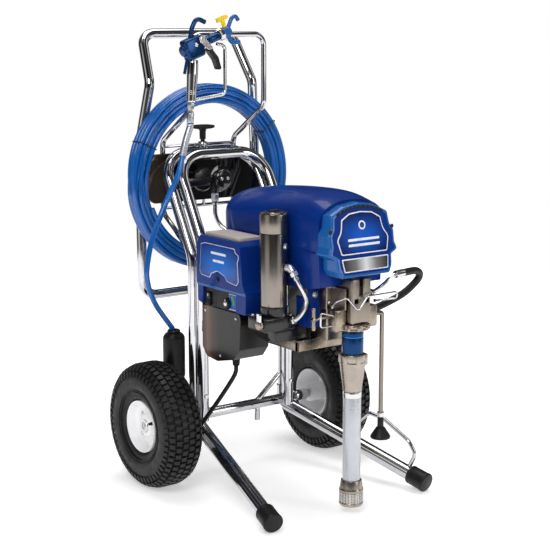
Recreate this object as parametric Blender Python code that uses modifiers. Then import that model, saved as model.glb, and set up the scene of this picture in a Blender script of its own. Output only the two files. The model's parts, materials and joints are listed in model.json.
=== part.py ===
"""Airless paint sprayer on an upright two-wheel cart, with a hose reel behind it and a parked spray gun.

Metres, +Z up. The floor is Z = 0 and -Y is the front, where the pump hangs. Positions are given from
the floor under the axle, and every object hangs on the empty "sprayer_origin", which stands there.
"""

from math import cos, pi, radians, sin, tan

import bmesh
import bpy
from mathutils import Matrix, Vector

# ---------------------------------------------------------------- driving dimensions
AXLE_Y = 0.1023           # from the middle of the footprint back to the axle
GAP = 0.0003              # between pieces that touch

TYRE_R = 0.1375           # 4.10/3.50-4 pneumatic tyre
TYRE_W = 0.095
RIM_R = 0.0565
TRACK = 0.467
AXLE_R = 0.0080

LEG_R = 0.0155            # bent steel tubes of the cart
LOOP_R = 0.0127
HANDLE_R = 0.0110
REEL_R = 0.0060
FRONT_X, FRONT_Y = 0.117, -0.0145
REAR_X, REAR_Y = 0.123, 0.0110
LEG_TOP = 0.168
LEAN = radians(30)        # both loops lean back towards the reel
FOOT = Vector((0.205, -0.395, 0.0208))
BEND = Vector((REAR_X, REAR_Y, 0.1265))

HUB_Z = 0.650             # the hose reel turns about Y here
DRUM_FRONT, DRUM_BACK = 0.1525, 0.1605
COIL_IN, COIL_OUT = 0.1665, 0.211
COIL_FRONT, COIL_BACK = 0.108, 0.147
LOCK_X, LOCK_Y = -0.0115, 0.1363

PUMP_Y = -0.386
CYLINDER_R = 0.0223
SUCTION_R = 0.0185
MOTOR_Z = 0.570
GEAR_R = 0.0300
PINION_R = 0.0085
CRANK_Z = MOTOR_Z - GEAR_R - PINION_R - 0.0006
CRANK_THROW = 0.014

BOX_LEFT, BOX_RIGHT = -0.161, -0.092
FILTER_X, FILTER_Y = -0.120, -0.280
FILTER_R = 0.0285
HOSE_D = 0.0120
MAINS_D = 0.0095

GUN = Vector((-0.1075, 0.026, 0.942))
GUN_PITCH = radians(20)   # the muzzle points up

# ---------------------------------------------------------------- scene and materials
for old in list(bpy.data.objects):
    bpy.data.objects.remove(old, do_unlink=True)

parts = bpy.data.collections.new("airless_paint_sprayer")
cutters = bpy.data.collections.new("cutters")
for group in (parts, cutters):
    bpy.context.scene.collection.children.link(group)

origin = bpy.data.objects.new("sprayer_origin", None)
origin.location = (0, AXLE_Y, 0)
parts.objects.link(origin)

LOOKS = {                 # colour, metallic, roughness
    "chrome": ((0.72, 0.72, 0.74), 1.0, 0.12),
    "steel": ((0.60, 0.58, 0.55), 1.0, 0.32),
    "nickel": ((0.52, 0.47, 0.41), 1.0, 0.35),
    "cast": ((0.55, 0.52, 0.48), 0.8, 0.50),
    "black_paint": ((0.015, 0.015, 0.017), 0.0, 0.25),
    "rubber": ((0.020, 0.020, 0.022), 0.0, 0.75),
    "plastic": ((0.025, 0.025, 0.028), 0.0, 0.45),
    "blue_cover": ((0.012, 0.060, 0.380), 0.0, 0.32),
    "blue_hose": ((0.020, 0.160, 0.620), 0.0, 0.35),
    "blue_metal": ((0.010, 0.070, 0.300), 0.7, 0.30),
    "rim_white": ((0.800, 0.800, 0.790), 0.0, 0.45),
    "pale_tube": ((0.660, 0.670, 0.700), 0.2, 0.35),
    "yellow": ((0.850, 0.650, 0.020), 0.0, 0.40),
    "grey": ((0.480, 0.460, 0.440), 0.1, 0.55),
}


def material(look):
    found = bpy.data.materials.get(look)
    if found:
        return found
    colour, metallic, roughness = LOOKS[look]
    made = bpy.data.materials.new(look)
    made.use_nodes = True
    shader = made.node_tree.nodes["Principled BSDF"]
    shader.inputs["Base Color"].default_value = (*colour, 1)
    shader.inputs["Metallic"].default_value = metallic
    shader.inputs["Roughness"].default_value = roughness
    return made


# ---------------------------------------------------------------- modelling helpers
def add(name, data, look):
    """An object for a part, hung on the sprayer's origin."""
    made = bpy.data.objects.new(name, data)
    parts.objects.link(made)
    made.parent = origin
    made.data.materials.append(material(look))
    return made


def shaded(mesh, angle=35):
    mesh.shade_smooth()
    mesh.set_sharp_from_angle(angle=radians(angle))
    return mesh


def rounded(corners, radius, steps=4, closed=False):
    """The corners joined by straight runs, with each bend an arc of this radius."""
    corners = [Vector(c) for c in corners]
    count = len(corners)
    path = []
    for i, corner in enumerate(corners):
        if not closed and i in (0, count - 1):
            path.append(corner)
            continue
        back = corners[i - 1] - corner
        on = corners[(i + 1) % count] - corner
        turn = pi - back.angle(on)
        if turn < 0.03:
            path.append(corner)
            continue
        cut_back = min(radius * tan(turn / 2), 0.48 * back.length, 0.48 * on.length)
        bend = cut_back / tan(turn / 2)
        back.normalize()
        on.normalize()
        centre = corner + (back + on).normalized() * (bend / cos(turn / 2))
        first = corner + back * cut_back - centre
        last = corner + on * cut_back - centre
        for k in range(steps + 1):
            a = turn * k / steps
            path.append(centre + (first * sin(turn - a) + last * sin(a)) / sin(turn))
    return path


def smooth_route(points, spacing):
    """A Catmull-Rom curve through the points, read at even steps."""
    points = [Vector(p) for p in points]
    ends = [2 * points[0] - points[1]] + points + [2 * points[-1] - points[-2]]
    fine = []
    for a, b, c, d in zip(ends, ends[1:], ends[2:], ends[3:]):
        for k in range(24):
            t = k / 24
            bent = (2 * a - 5 * b + 4 * c - d) * t**2 + (3 * b - a - 3 * c + d) * t**3
            fine.append(0.5 * (2 * b + (c - a) * t + bent))
    fine.append(points[-1])
    length = sum((q - p).length for p, q in zip(fine, fine[1:]))
    count = max(2, round(length / spacing))
    even = [fine[0]]
    walked = 0.0
    want = length / count
    for p, q in zip(fine, fine[1:]):
        step = (q - p).length
        while len(even) < count and walked + step >= want * len(even):
            even.append(p.lerp(q, (want * len(even) - walked) / step))
        walked += step
    return even + [fine[-1]]


def tube(name, path, radius, look, sides=8, closed=False):
    """A round bar along the path, as a curve with a bevel."""
    curve = bpy.data.curves.new(name, "CURVE")
    curve.dimensions = "3D"
    curve.bevel_depth = radius
    curve.bevel_resolution = sides // 2 - 2
    curve.use_fill_caps = not closed
    line = curve.splines.new("POLY")
    line.points.add(len(path) - 1)
    for point, place in zip(line.points, path):
        point.co = (*place, 1)
    line.use_cyclic_u = closed
    return add(name, curve, look)


def bar(name, path, radius, look, sides=8, closed=False):
    """The same round bar as a mesh with its caps welded, so that it can be cut or joined."""
    curve = tube(name, path, radius, look, sides, closed)
    graph = bpy.context.evaluated_depsgraph_get()
    graph.update()
    mesh = bpy.data.meshes.new_from_object(curve.evaluated_get(graph))
    bpy.data.objects.remove(curve)
    form = bmesh.new()
    form.from_mesh(mesh)
    bmesh.ops.remove_doubles(form, verts=form.verts, dist=1e-5)
    bmesh.ops.recalc_face_normals(form, faces=form.faces)
    form.to_mesh(mesh)
    form.free()
    mesh.materials.clear()
    return add(name, shaded(mesh), look)


def turned(name, profile, start, axis, look, steps=24):
    """A solid turned about an axis from start. The profile is (along, radius) pairs."""
    mesh = bpy.data.meshes.new(name)
    pairs = zip(profile, profile[1:] + profile[:1])
    if sum(r0 * a1 - r1 * a0 for (a0, r0), (a1, r1) in pairs) > 0:
        profile = profile[::-1]      # the outer side runs downwards, so that the faces point out
    verts = [(radius, 0, along) for along, radius in profile]
    edges = [(i, i + 1) for i in range(len(verts) - 1)]
    if profile[0][1] > 0 and profile[-1][1] > 0:
        edges.append((len(verts) - 1, 0))
    mesh.from_pydata(verts, edges, [])
    made = add(name, mesh, look)
    screw = made.modifiers.new("Screw", "SCREW")
    screw.steps = screw.render_steps = steps
    screw.use_merge_vertices = True
    screw.merge_threshold = 0.00002
    screw.use_smooth_shade = False
    made.location = start
    made.rotation_mode = "QUATERNION"
    made.rotation_quaternion = Vector((0, 0, 1)).rotation_difference(Vector(axis))
    return made


def box(name, low, high, look, bevel=0.0, segments=1):
    """A block between two corners, with its edges rounded."""
    low, high = Vector(low), Vector(high)
    form = bmesh.new()
    bmesh.ops.create_cube(form, size=1, matrix=Matrix.Diagonal((*(high - low), 1)))
    mesh = bpy.data.meshes.new(name)
    form.to_mesh(mesh)
    form.free()
    made = add(name, mesh, look)
    made.location = (low + high) / 2
    if bevel:
        soften(made, bevel, segments)
    return made


def soften(made, width, segments=1, limit=40):
    bevel = made.modifiers.new("Bevel", "BEVEL")
    bevel.width = width
    bevel.segments = segments
    bevel.limit_method = "ANGLE"
    bevel.angle_limit = radians(limit)
    return made


def loft(name, sections, look):
    """A closed skin over rings of equally many points, with flat ends."""
    form = bmesh.new()
    rings = [[form.verts.new(p) for p in section] for section in sections]
    for a, b in zip(rings, rings[1:]):
        for i in range(len(a)):
            j = (i + 1) % len(a)
            form.faces.new((a[i], a[j], b[j], b[i]))
    form.faces.new(reversed(rings[0]))
    form.faces.new(rings[-1])
    bmesh.ops.recalc_face_normals(form, faces=form.faces)
    mesh = bpy.data.meshes.new(name)
    form.to_mesh(mesh)
    form.free()
    return add(name, mesh, look)


def plate(name, outline, start, across, up, thickness, look):
    """A flat sheet: an outline in (across, up), this thick, its middle on start."""
    across, up = Vector(across).normalized(), Vector(up).normalized()
    half = across.cross(up) * thickness / 2
    rings = [[Vector(start) + across * a + up * b + side for a, b in outline] for side in (-half, half)]
    return loft(name, rings, look)


def boolean(target, tool, operation):
    parts.objects.unlink(tool)
    cutters.objects.link(tool)
    tool.hide_render = True
    tool.display_type = "WIRE"
    change = target.modifiers.new(operation.title(), "BOOLEAN")
    change.operation = operation
    change.solver = "EXACT"
    change.object = tool


def join(target, *tools):
    for tool in tools:
        boolean(target, tool, "UNION")
    return target


def cut(target, *tools):
    for tool in tools:
        boolean(target, tool, "DIFFERENCE")
    return target


def rod(name, start, end, radius, look="steel", steps=16):
    """A plain cylinder between two points."""
    start, end = Vector(start), Vector(end)
    return turned(name, [(0, 0), (0, radius), ((end - start).length, radius), ((end - start).length, 0)],
                  start, end - start, look, steps)


def flipped(points):
    return [Vector((-p[0], p[1], p[2])) for p in points]


# ---------------------------------------------------------------- cart
def leg_path():
    """From the foot back to the bend and up into the rear upright."""
    down = (FOOT - BEND).normalized()
    return rounded([FOOT - down * 0.008, BEND, (REAR_X, REAR_Y, LEG_TOP)], 0.050, 5)


def loop_path(x, y, low, bend_z, top_z, corner):
    """An inverted U: up, leaning back, over the top and down again."""
    top_y = y + (top_z - bend_z) * tan(LEAN)
    half = [Vector((x, y, low)), Vector((x, y, bend_z)), Vector((x * 0.985, top_y, top_z))]
    return rounded(half + flipped(reversed(half)), corner, 6)


def make_cart():
    down = (FOOT - BEND).normalized()
    for side, name in ((-1, "left"), (1, "right")):
        route = flipped(leg_path()) if side < 0 else leg_path()
        leg = bar(f"leg_{name}", route, LEG_R, "chrome", 12)
        cut(leg, rod(f"axle_hole_{name}", (side * 0.09, 0, TYRE_R), (side * 0.16, 0, TYRE_R), AXLE_R + GAP))
        bore = LEG_R + GAP
        cup = [(0, 0), (0, 0.0205), (-0.0020, 0.0215), (-0.045, 0.0205), (-0.045, bore), (-0.0080 + GAP, bore),
               (-0.0080 + GAP, 0)]
        turned(f"foot_cap_{name}", cup, (side * FOOT.x, FOOT.y, FOOT.z), (side * down.x, down.y, down.z),
               "rubber", 16)

    front = bar("front_loop", loop_path(FRONT_X, FRONT_Y, 0.1265, 0.530, 0.7065, 0.066), LOOP_R, "chrome", 10)
    for side in (-1, 1):
        route = flipped(leg_path()) if side < 0 else leg_path()
        cut(front, bar(f"saddle_{side}", route, LEG_R + 0.0004, "chrome", 12))
    cut(front, rod("front_axle_hole", (-0.2, 0, TYRE_R), (0.2, 0, TYRE_R), 0.0122))

    rear = bar("rear_loop", loop_path(REAR_X, REAR_Y, LEG_TOP + GAP, 0.490, 0.7070, 0.066), LOOP_R, "chrome", 10)
    barrel = rod("lock_barrel", (LOCK_X, LOCK_Y, 0.7110), (LOCK_X, LOCK_Y, 0.7300), 0.0112, "chrome", 14)
    join(rear, barrel)
    cut(rear, rod("lock_bore", (LOCK_X, LOCK_Y, 0.7100), (LOCK_X, LOCK_Y, 0.7400), 0.0052, "chrome", 14))

    brace = rod("cross_brace", (-0.1078, 0, TYRE_R), (0.1078, 0, TYRE_R), 0.0118, "chrome", 16)
    slant = rod("slant_rod", (0.0400, 0, 0.1440), (0.1025, -0.001, 0.1975), 0.0060, "chrome", 10)
    stub = rod("brace_stub", (0.0405, 0, 0.0980), (0.0405, 0, 0.1360), 0.0060, "chrome", 10)
    join(brace, slant, stub)
    cut(brace, rod("brace_bore", (-0.2, 0, TYRE_R), (0.2, 0, TYRE_R), AXLE_R + GAP))
    rod("axle", (-0.2560, 0, TYRE_R), (0.2560, 0, TYRE_R), AXLE_R, "steel", 12)

    # A pressed channel bolted across the front uprights carries the drive, the filter and the covers.
    beam = box("chassis_beam", (-0.0780, -0.3060, 0.3340), (0.0950, -0.0280, 0.3570), "nickel", 0.002)
    wing = box("beam_wing", (-0.1280, -0.0520, 0.3340), (0.1280, -0.0280, 0.3570), "nickel", 0.002)
    join(beam, wing)
    cut(beam, box("beam_hollow", (-0.0740, -0.2960, 0.3300), (0.0910, -0.0580, 0.3530), "nickel"))

    half = [(0.1225, 0.2120, 0.9710), (0.1390, 0.1535, 0.8620), (0.1580, 0.1725, 0.7200), (0.1580, 0.1660, 0.3850)]
    half = [Vector(p) for p in half]
    tube("handle_frame", rounded(half + flipped(reversed(half)), 0.036, 5, True), HANDLE_R, "chrome", 10, True)

    tube("rod_guard", rounded(GUARD, 0.018, 4), 0.0045, "chrome")


GUARD = ((0.1610, -0.1900, 0.0925), (0.1650, -0.2070, 0.1180), (0.1720, -0.2400, 0.1480), (0.1800, -0.2780, 0.1430),
         (0.1950, -0.3450, 0.1050), (0.1990, -0.3640, 0.0790), (0.1955, -0.3500, 0.0510))


def make_wheels():
    w, r = TYRE_W / 2, TYRE_R
    for side, name in ((-1, "left"), (1, "right")):
        out = Vector((side, 0, 0))
        middle = Vector((side * TRACK / 2, 0, TYRE_R))
        tread = [(w * 0.42, RIM_R + 0.0008), (w * 0.80, RIM_R + 0.0045), (w, 0.0900), (w * 0.96, 0.1150),
                 (w * 0.74, r - 0.0060), (w * 0.36, r), (-w * 0.36, r), (-w * 0.74, r - 0.0060),
                 (-w * 0.96, 0.1150), (-w, 0.0900), (-w * 0.80, RIM_R + 0.0045), (-w * 0.42, RIM_R + 0.0008)]
        turned(f"tyre_{name}", tread, middle, out, "rubber", 36)
        bore = AXLE_R + 0.0004
        dish = [(w * 0.55, 0), (w * 0.55, 0.0250), (w * 0.45, 0.0420), (w * 0.78, 0.0535), (w * 0.78, RIM_R),
                (w * 0.38, RIM_R), (-w * 0.38, RIM_R), (-w * 0.78, RIM_R), (-w * 0.78, 0.0535),
                (-w * 0.30, 0.0460), (w * 0.28, 0.0400), (w * 0.28, 0.0210), (-w * 0.95, 0.0190), (-w * 0.95, bore),
                (w * 0.50, bore), (w * 0.50, 0)]
        turned(f"rim_{name}", dish, middle, out, "rim_white", 24)


# ---------------------------------------------------------------- hose reel
def make_reel():
    half_long, half_high = 0.1580, 0.0550
    ends = []
    for k in range(9):
        a = radians(-90 + 22.5 * k)
        ends.append((half_long - half_high * (1 - cos(a)) * 0.55, half_high * sin(a)))
    ends += [(-a, b) for a, b in reversed(ends)]
    middle = (0, (DRUM_FRONT + DRUM_BACK) / 2, HUB_Z)
    drum = plate("reel_drum", ends, middle, (1, 0, 0), (0, 0, 1), DRUM_BACK - DRUM_FRONT, "black_paint")
    soften(drum, 0.0030, 1)
    cut(drum, rod("drum_bore", (0, 0.10, HUB_Z), (0, 0.20, HUB_Z), 0.0090))

    x = 0.097
    half = [(x, 0.050, 0.9700), (x, 0.050, 0.8120), (x, 0.1710, 0.7320)]
    half = [Vector(p) for p in half]
    low = [Vector((p.x, p.y, 2 * HUB_Z - p.z)) for p in reversed(half)]
    side = half + low
    rods = bar("reel_rods", rounded(side + flipped(reversed(side)), 0.026, 4, True), REEL_R, "chrome", 8, True)
    for k in (-1, 1):
        spoke = rod(f"reel_spoke_{k}", (-x, 0.1710, HUB_Z + k * 0.070), (x, 0.1710, HUB_Z + k * 0.070), 0.0040,
                    "chrome", 8)
        tie = rod(f"reel_tie_{k}", (k * 0.012, 0.1710, HUB_Z - 0.072), (k * 0.012, 0.1710, HUB_Z + 0.072), 0.0040,
                  "chrome", 8)
        join(rods, spoke, tie)
    hub = rod("reel_hub", (0, 0.1612, HUB_Z), (0, 0.1810, HUB_Z), 0.0190, "chrome", 20)
    join(rods, hub)
    cut(rods, rod("hub_bore", (0, 0.10, HUB_Z), (0, 0.20, HUB_Z), 0.0084))

    r = 0.006
    winding = [(0, COIL_IN), (0, COIL_OUT - r), (r, COIL_OUT), (COIL_BACK - COIL_FRONT - r, COIL_OUT),
               (COIL_BACK - COIL_FRONT, COIL_OUT - r), (COIL_BACK - COIL_FRONT, COIL_IN)]
    turned("hose_coil", winding, (0, COIL_FRONT, HUB_Z), (0, 1, 0), "blue_hose", 40)

    # The swivel's fixed shaft runs back through the reel to a strap across the handle's limbs.
    swivel = turned("swivel_housing", [(0, 0), (0, 0.0200), (0.003, 0.0220), (0.0150, 0.0220), (0.0150, 0.0300),
                                       (0.0190, 0.0300), (0.0190, 0.0080), (0.1190, 0.0080), (0.1190, 0)],
                    (0, 0.0660, HUB_Z), (0, 1, 0), "black_paint", 20)
    strap = box("hub_strap", (-0.1280, 0.0770, HUB_Z - 0.0130), (0.0000, 0.0815, HUB_Z + 0.0060), "black_paint")
    back = box("back_strap", (-0.1660, 0.1838, HUB_Z - 0.0120), (0.1660, 0.1880, HUB_Z + 0.0120), "black_paint")
    port = rod("swivel_port", (-0.0200, 0.0760, HUB_Z - 0.0300), (-0.0200, 0.0760, HUB_Z - 0.0050), 0.0080,
               "black_paint", 12)
    join(swivel, strap, back, port)

    x, y = -0.0200, 0.0760
    nut = rod("swivel_tube", (x, y, 0.6010), (x, y, 0.6190 - GAP), 0.0092, "steel", 6)
    route = rounded([(x, y, 0.6080), (x, y, 0.5550), (0.0200, 0.0200, 0.5050), (0.0200, -0.0180, 0.4960)], 0.045, 4)
    join(nut, bar("swivel_pipe", route, 0.0048, "steel", 8))

    handle = turned("lock_handle", [(0, 0), (0, 0.0048), (0.0230, 0.0048), (0.0230, 0.0070), (0.0480, 0.0085),
                                    (0.0480, 0)], (LOCK_X, LOCK_Y, 0.7120), (0, 0, 1), "plastic", 12)
    join(handle, box("lock_cross", (LOCK_X - 0.0275, LOCK_Y - 0.0085, 0.7590),
                     (LOCK_X + 0.0275, LOCK_Y + 0.0085, 0.7675), "plastic", 0.0035, 2))

    box("hose_guide", (-0.1830, 0.0140, 0.2150), (-0.1370, 0.0560, 0.3290), "plastic", 0.017, 3)


# ---------------------------------------------------------------- drive, covers and pump
def cover_section(y, half_width, low, high, shoulder, inset=0.0):
    """One ring of the motor cover: a rounded top over sides that draw in a little below."""
    middle = (shoulder + low) / 2
    foot = half_width * 0.94
    if inset:
        foot -= (half_width * 0.99 - foot) / (middle - low) * 0.012 + inset
        low -= 0.012
        half_width -= inset
        high -= inset
    points = []
    for k in range(9):
        a = pi * k / 8
        points.append((half_width * cos(a), y, shoulder + (high - shoulder) * sin(a)))
    points += [(-half_width * 0.99, y, middle), (-foot, y, low), (foot, y, low), (half_width * 0.99, y, middle)]
    return points


COVER_RINGS = (           # y, half width, bottom, top, shoulder
    (-0.0300, 0.0620, 0.5200, 0.6260, 0.5900),
    (-0.0600, 0.0810, 0.4980, 0.6430, 0.5950),
    (-0.1300, 0.0860, 0.4800, 0.6540, 0.6000),
    (-0.2400, 0.0880, 0.4720, 0.6620, 0.6040),
    (-0.3250, 0.0870, 0.4700, 0.6620, 0.6050),
    (-0.3780, 0.0840, 0.4780, 0.6500, 0.6030),
)

FACE = ((0.0620, 0.5010), (0.0700, 0.5150), (0.0720, 0.5380), (0.0900, 0.5470), (0.0840, 0.5620), (0.0850, 0.5860),
        (0.0760, 0.6000), (0.0730, 0.6240), (0.0400, 0.6400), (0.0000, 0.6460), (-0.0400, 0.6400), (-0.0730, 0.6240),
        (-0.0760, 0.6000), (-0.0850, 0.5860), (-0.0840, 0.5620), (-0.0900, 0.5470), (-0.0720, 0.5380),
        (-0.0700, 0.5150), (-0.0620, 0.5010))


def face_y(z, out=0.0):
    """How far forward the front cover stands: its flat face leans out towards its lower edge."""
    return -0.4000 - 0.0280 * (0.646 - z) / 0.145 - out


def make_covers():
    cover = loft("motor_cover", [cover_section(*ring) for ring in COVER_RINGS], "blue_cover")
    inner = [(-0.0340, *COVER_RINGS[0][1:]), *COVER_RINGS[1:-1], COVER_RINGS[-1], (-0.4000, *COVER_RINGS[-1][1:])]
    cut(cover, loft("cover_hollow", [cover_section(*ring, inset=0.003) for ring in inner], "blue_cover"))

    back = -0.3780 - GAP
    rings = [[(x, back, z) for x, z in FACE],
             [(x, face_y(z) + 0.006, z) for x, z in FACE],
             [(x * 0.93, face_y(0.572 + (z - 0.572) * 0.94), 0.572 + (z - 0.572) * 0.94) for x, z in FACE]]
    front = loft("front_cover", rings, "blue_cover")
    hollow = loft("front_hollow", [[(x * 0.90, back + 0.010, 0.572 + (z - 0.572) * 0.92) for x, z in FACE],
                                   [(x * 0.88, -0.3945, 0.572 + (z - 0.572) * 0.90) for x, z in FACE]], "blue_cover")
    throat = box("front_throat", (-0.0300, -0.4200, 0.4800), (0.0300, -0.3500, 0.5100), "blue_cover")
    cut(front, hollow, throat)
    corners = ((-0.0600, 0.5390), (-0.0560, 0.5130), (0.0560, 0.5130), (0.0600, 0.5390))
    loft("name_plate", [[(x, face_y(z, GAP), z) for x, z in corners], [(x, face_y(z, 0.0018), z) for x, z in corners]],
         "steel")


def make_drive():
    can = turned("motor_can", [(0, 0.0120), (0, 0.0460), (0.1500, 0.0460), (0.1500, 0.0080), (0.1420, 0.0080),
                               (0.1420, 0.0380), (0.0080, 0.0380), (0.0080, 0.0120)],
                 (0, -0.0800, MOTOR_Z), (0, -1, 0), "black_paint", 20)
    saddle = box("motor_saddle", (-0.0300, -0.2100, 0.3573), (0.0300, -0.1000, 0.5300), "black_paint")
    saddle_bore = rod("saddle_bore", (0, -0.0890, MOTOR_Z), (0, -0.2210, MOTOR_Z), 0.0395, "black_paint", 20)
    join(can, cut(saddle, saddle_bore))

    turned("drive_rotor", [(0, 0), (0, 0.0070), (0.0160, 0.0070), (0.0160, 0.0350), (0.1280, 0.0350), (0.1280, 0.0065),
                           (0.1780, 0.0065), (0.1780, PINION_R), (0.1930, PINION_R), (0.1930, 0)],
           (0, -0.0780, MOTOR_Z), (0, -1, 0), "steel", 16)

    gear = turned("drive_gear", [(0, 0), (0, GEAR_R), (0.0140, GEAR_R), (0.0140, 0.0080), (0.0940, 0.0080),
                                 (0.0940, 0.0210), (0.1010, 0.0210), (0.1010, 0)],
                  (0, -0.2565, CRANK_Z), (0, -1, 0), "steel", 24)
    pin = rod("crank_pin", (0, -0.3550, CRANK_Z + CRANK_THROW), (0, PUMP_Y + 0.0085, CRANK_Z + CRANK_THROW), 0.0050)
    join(gear, pin)

    housing = box("drive_housing", (-0.0330, -0.3440, 0.3573), (0.0330, -0.2860, 0.5480), "cast", 0.004)
    nose = box("housing_nose", (-0.0250, -0.4130, 0.4013), (0.0250, -0.3400, 0.4940), "cast", 0.006)
    bracket = box("housing_bracket", (-0.0440, -0.3560, 0.4250), (0.0440, -0.3320, 0.4920), "cast", 0.003)
    join(housing, nose, bracket)
    room = box("housing_room", (-0.0175, -0.4050, 0.4150), (0.0175, -0.3630, 0.5200), "cast")
    slot = box("housing_slot", (-0.0045, -0.4300, 0.4400), (0.0045, -0.4000, 0.4760), "cast")
    cut(housing, room, slot, rod("rod_hole", (0, PUMP_Y, 0.3900), (0, PUMP_Y, 0.4300), 0.0085),
        rod("shaft_hole", (0, -0.2000, CRANK_Z), (0, -0.4200, CRANK_Z), 0.0086))

    piston = rod("pump_rod", (0, PUMP_Y, 0.2960), (0, PUMP_Y, 0.4700), 0.0062, "steel", 14)
    top = CRANK_Z + CRANK_THROW
    web = box("con_rod", (-0.0075, PUMP_Y - 0.0045, 0.4650), (0.0075, PUMP_Y + 0.0045, top - 0.0050), "steel")
    eye = rod("con_rod_eye", (0, PUMP_Y - 0.0060, top), (0, PUMP_Y + 0.0080, top), 0.0125, "steel", 16)
    join(piston, web, eye)


def make_pump():
    x, y = 0, PUMP_Y
    bore = 0.0085
    clamp = turned("pump_clamp", [(0, bore), (0, 0.0270), (0.0035, 0.0330), (0.0130, 0.0330), (0.0160, 0.0300),
                                  (0.0160, bore)], (x, y, 0.3850), (0, 0, 1), "nickel", 20)
    left = box("clamp_left", (-0.0530, y - 0.0120, 0.3870), (-0.0257, y + 0.0140, 0.4330), "nickel", 0.003)
    right = box("clamp_right", (0.0257, y - 0.0120, 0.3880), (0.0560, y + 0.0140, 0.4330), "nickel", 0.003)
    join(clamp, left, right)

    turned("pump_cylinder", [(0, bore), (0, CYLINDER_R), (0.0340, CYLINDER_R), (0.0345, 0.0210), (0.0365, 0.0210),
                             (0.0370, CYLINDER_R), (0.0475, CYLINDER_R), (0.0475, bore)],
           (x, y, 0.3850 - GAP - 0.0475), (0, 0, 1), "blue_metal", 24)
    intake = turned("pump_intake", [(0, 0.0070), (0, 0.0192), (0.0060, 0.0197), (0.0300, 0.0230), (0.0560, 0.0265),
                                    (0.0780, 0.0268), (0.0780, bore), (0.0200, bore), (0.0180, 0.0070)],
                    (x, y, 0.2590), (0, 0, 1), "nickel", 24)
    join(intake, box("intake_outlet", (0.0200, y - 0.0080, 0.3080), (0.0370, y + 0.0080, 0.3330), "nickel", 0.003))
    turned("suction_tube", [(0.0600, 0.0150), (0.0600, SUCTION_R), (0.2587, SUCTION_R), (0.2587, 0.0150)],
           (x, y, 0), (0, 0, 1), "pale_tube", 24)
    turned("strainer", [(0.0160, 0), (0.0160, 0.0240), (0.0200, 0.0255), (0.0480, 0.0255), (0.0520, 0.0240),
                        (0.0700, 0.0215), (0.0700, SUCTION_R + GAP), (0.0597, SUCTION_R + GAP), (0.0597, 0.0120),
                        (0.0220, 0.0120), (0.0220, 0)], (x, y, 0), (0, 0, 1), "nickel", 24)

    route = [(0.0560, -0.3660, 0.4500), (0.0640, -0.3800, 0.4570), (0.0780, -0.3900, 0.4700), (0.1030, -0.3910, 0.4860),
             (0.1380, -0.3880, 0.4885), (0.1700, -0.3840, 0.4880), (0.1870, -0.3780, 0.4780), (0.1830, -0.3720, 0.4620),
             (0.1540, -0.3640, 0.4380), (0.1100, -0.3520, 0.4180), (0.0700, -0.3350, 0.4020), (0.0500, -0.3250, 0.3960)]
    tube("pump_hose", smooth_route(route, 0.012), 0.0080, "rubber", 10)

    drain = bar("drain_tube", rounded([(0.0565, -0.3880, 0.4120), (0.0760, -0.3880, 0.4120), (0.0760, -0.3880, 0.2000)],
                                      0.006, 3), 0.0050, "steel", 8)
    foot = turned("drain_foot", [(0, 0), (0, 0.0205), (0.0040, 0.0210), (0.0230, 0.0085), (0.0450, 0.0080),
                                 (0.0640, 0.0080), (0.0640, 0)], (0.0760, -0.3880, 0.1450), (0, 0, 1), "rubber", 16)
    join(drain, foot)


def make_bails():
    y = PUMP_Y
    hoop = [(-0.0545, y, 0.4385), (-0.0545, y - 0.0150, 0.4520), (-0.0420, y - 0.0310, 0.4610),
            (-0.0150, y - 0.0350, 0.4310), (0.0060, y - 0.0370, 0.4590), (0.0830, y - 0.0380, 0.4600),
            (0.0860, y - 0.0360, 0.4460), (0.0575, y - 0.0150, 0.4420), (0.0575, y, 0.4385)]
    front = bar("front_bail", rounded(hoop, 0.006, 2), 0.0019, "chrome", 6)
    for side, at in ((-1, -0.0555), (1, 0.0585)):
        join(front, rod(f"bail_eye_{side}", (at, y, 0.4385), (at - side * 0.0022, y, 0.4385), 0.0035, "chrome", 8))
    side = [(-0.0555, y - 0.0060, 0.4220), (-0.0880, y - 0.0060, 0.4320), (-0.0880, y - 0.0060, 0.4020),
            (-0.0560, y - 0.0060, 0.4020)]
    tube("side_bail", rounded(side, 0.004, 2), 0.0018, "chrome", 6)
    screw = rod("clamp_handle", (-0.0536, y + 0.0060, 0.4180), (-0.1000, y + 0.0060, 0.4180), 0.0032, "nickel", 10)
    join(screw, rod("clamp_cross", (-0.0960, y + 0.0060, 0.3950), (-0.0960, y + 0.0060, 0.4410), 0.0040, "nickel", 10))


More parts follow.
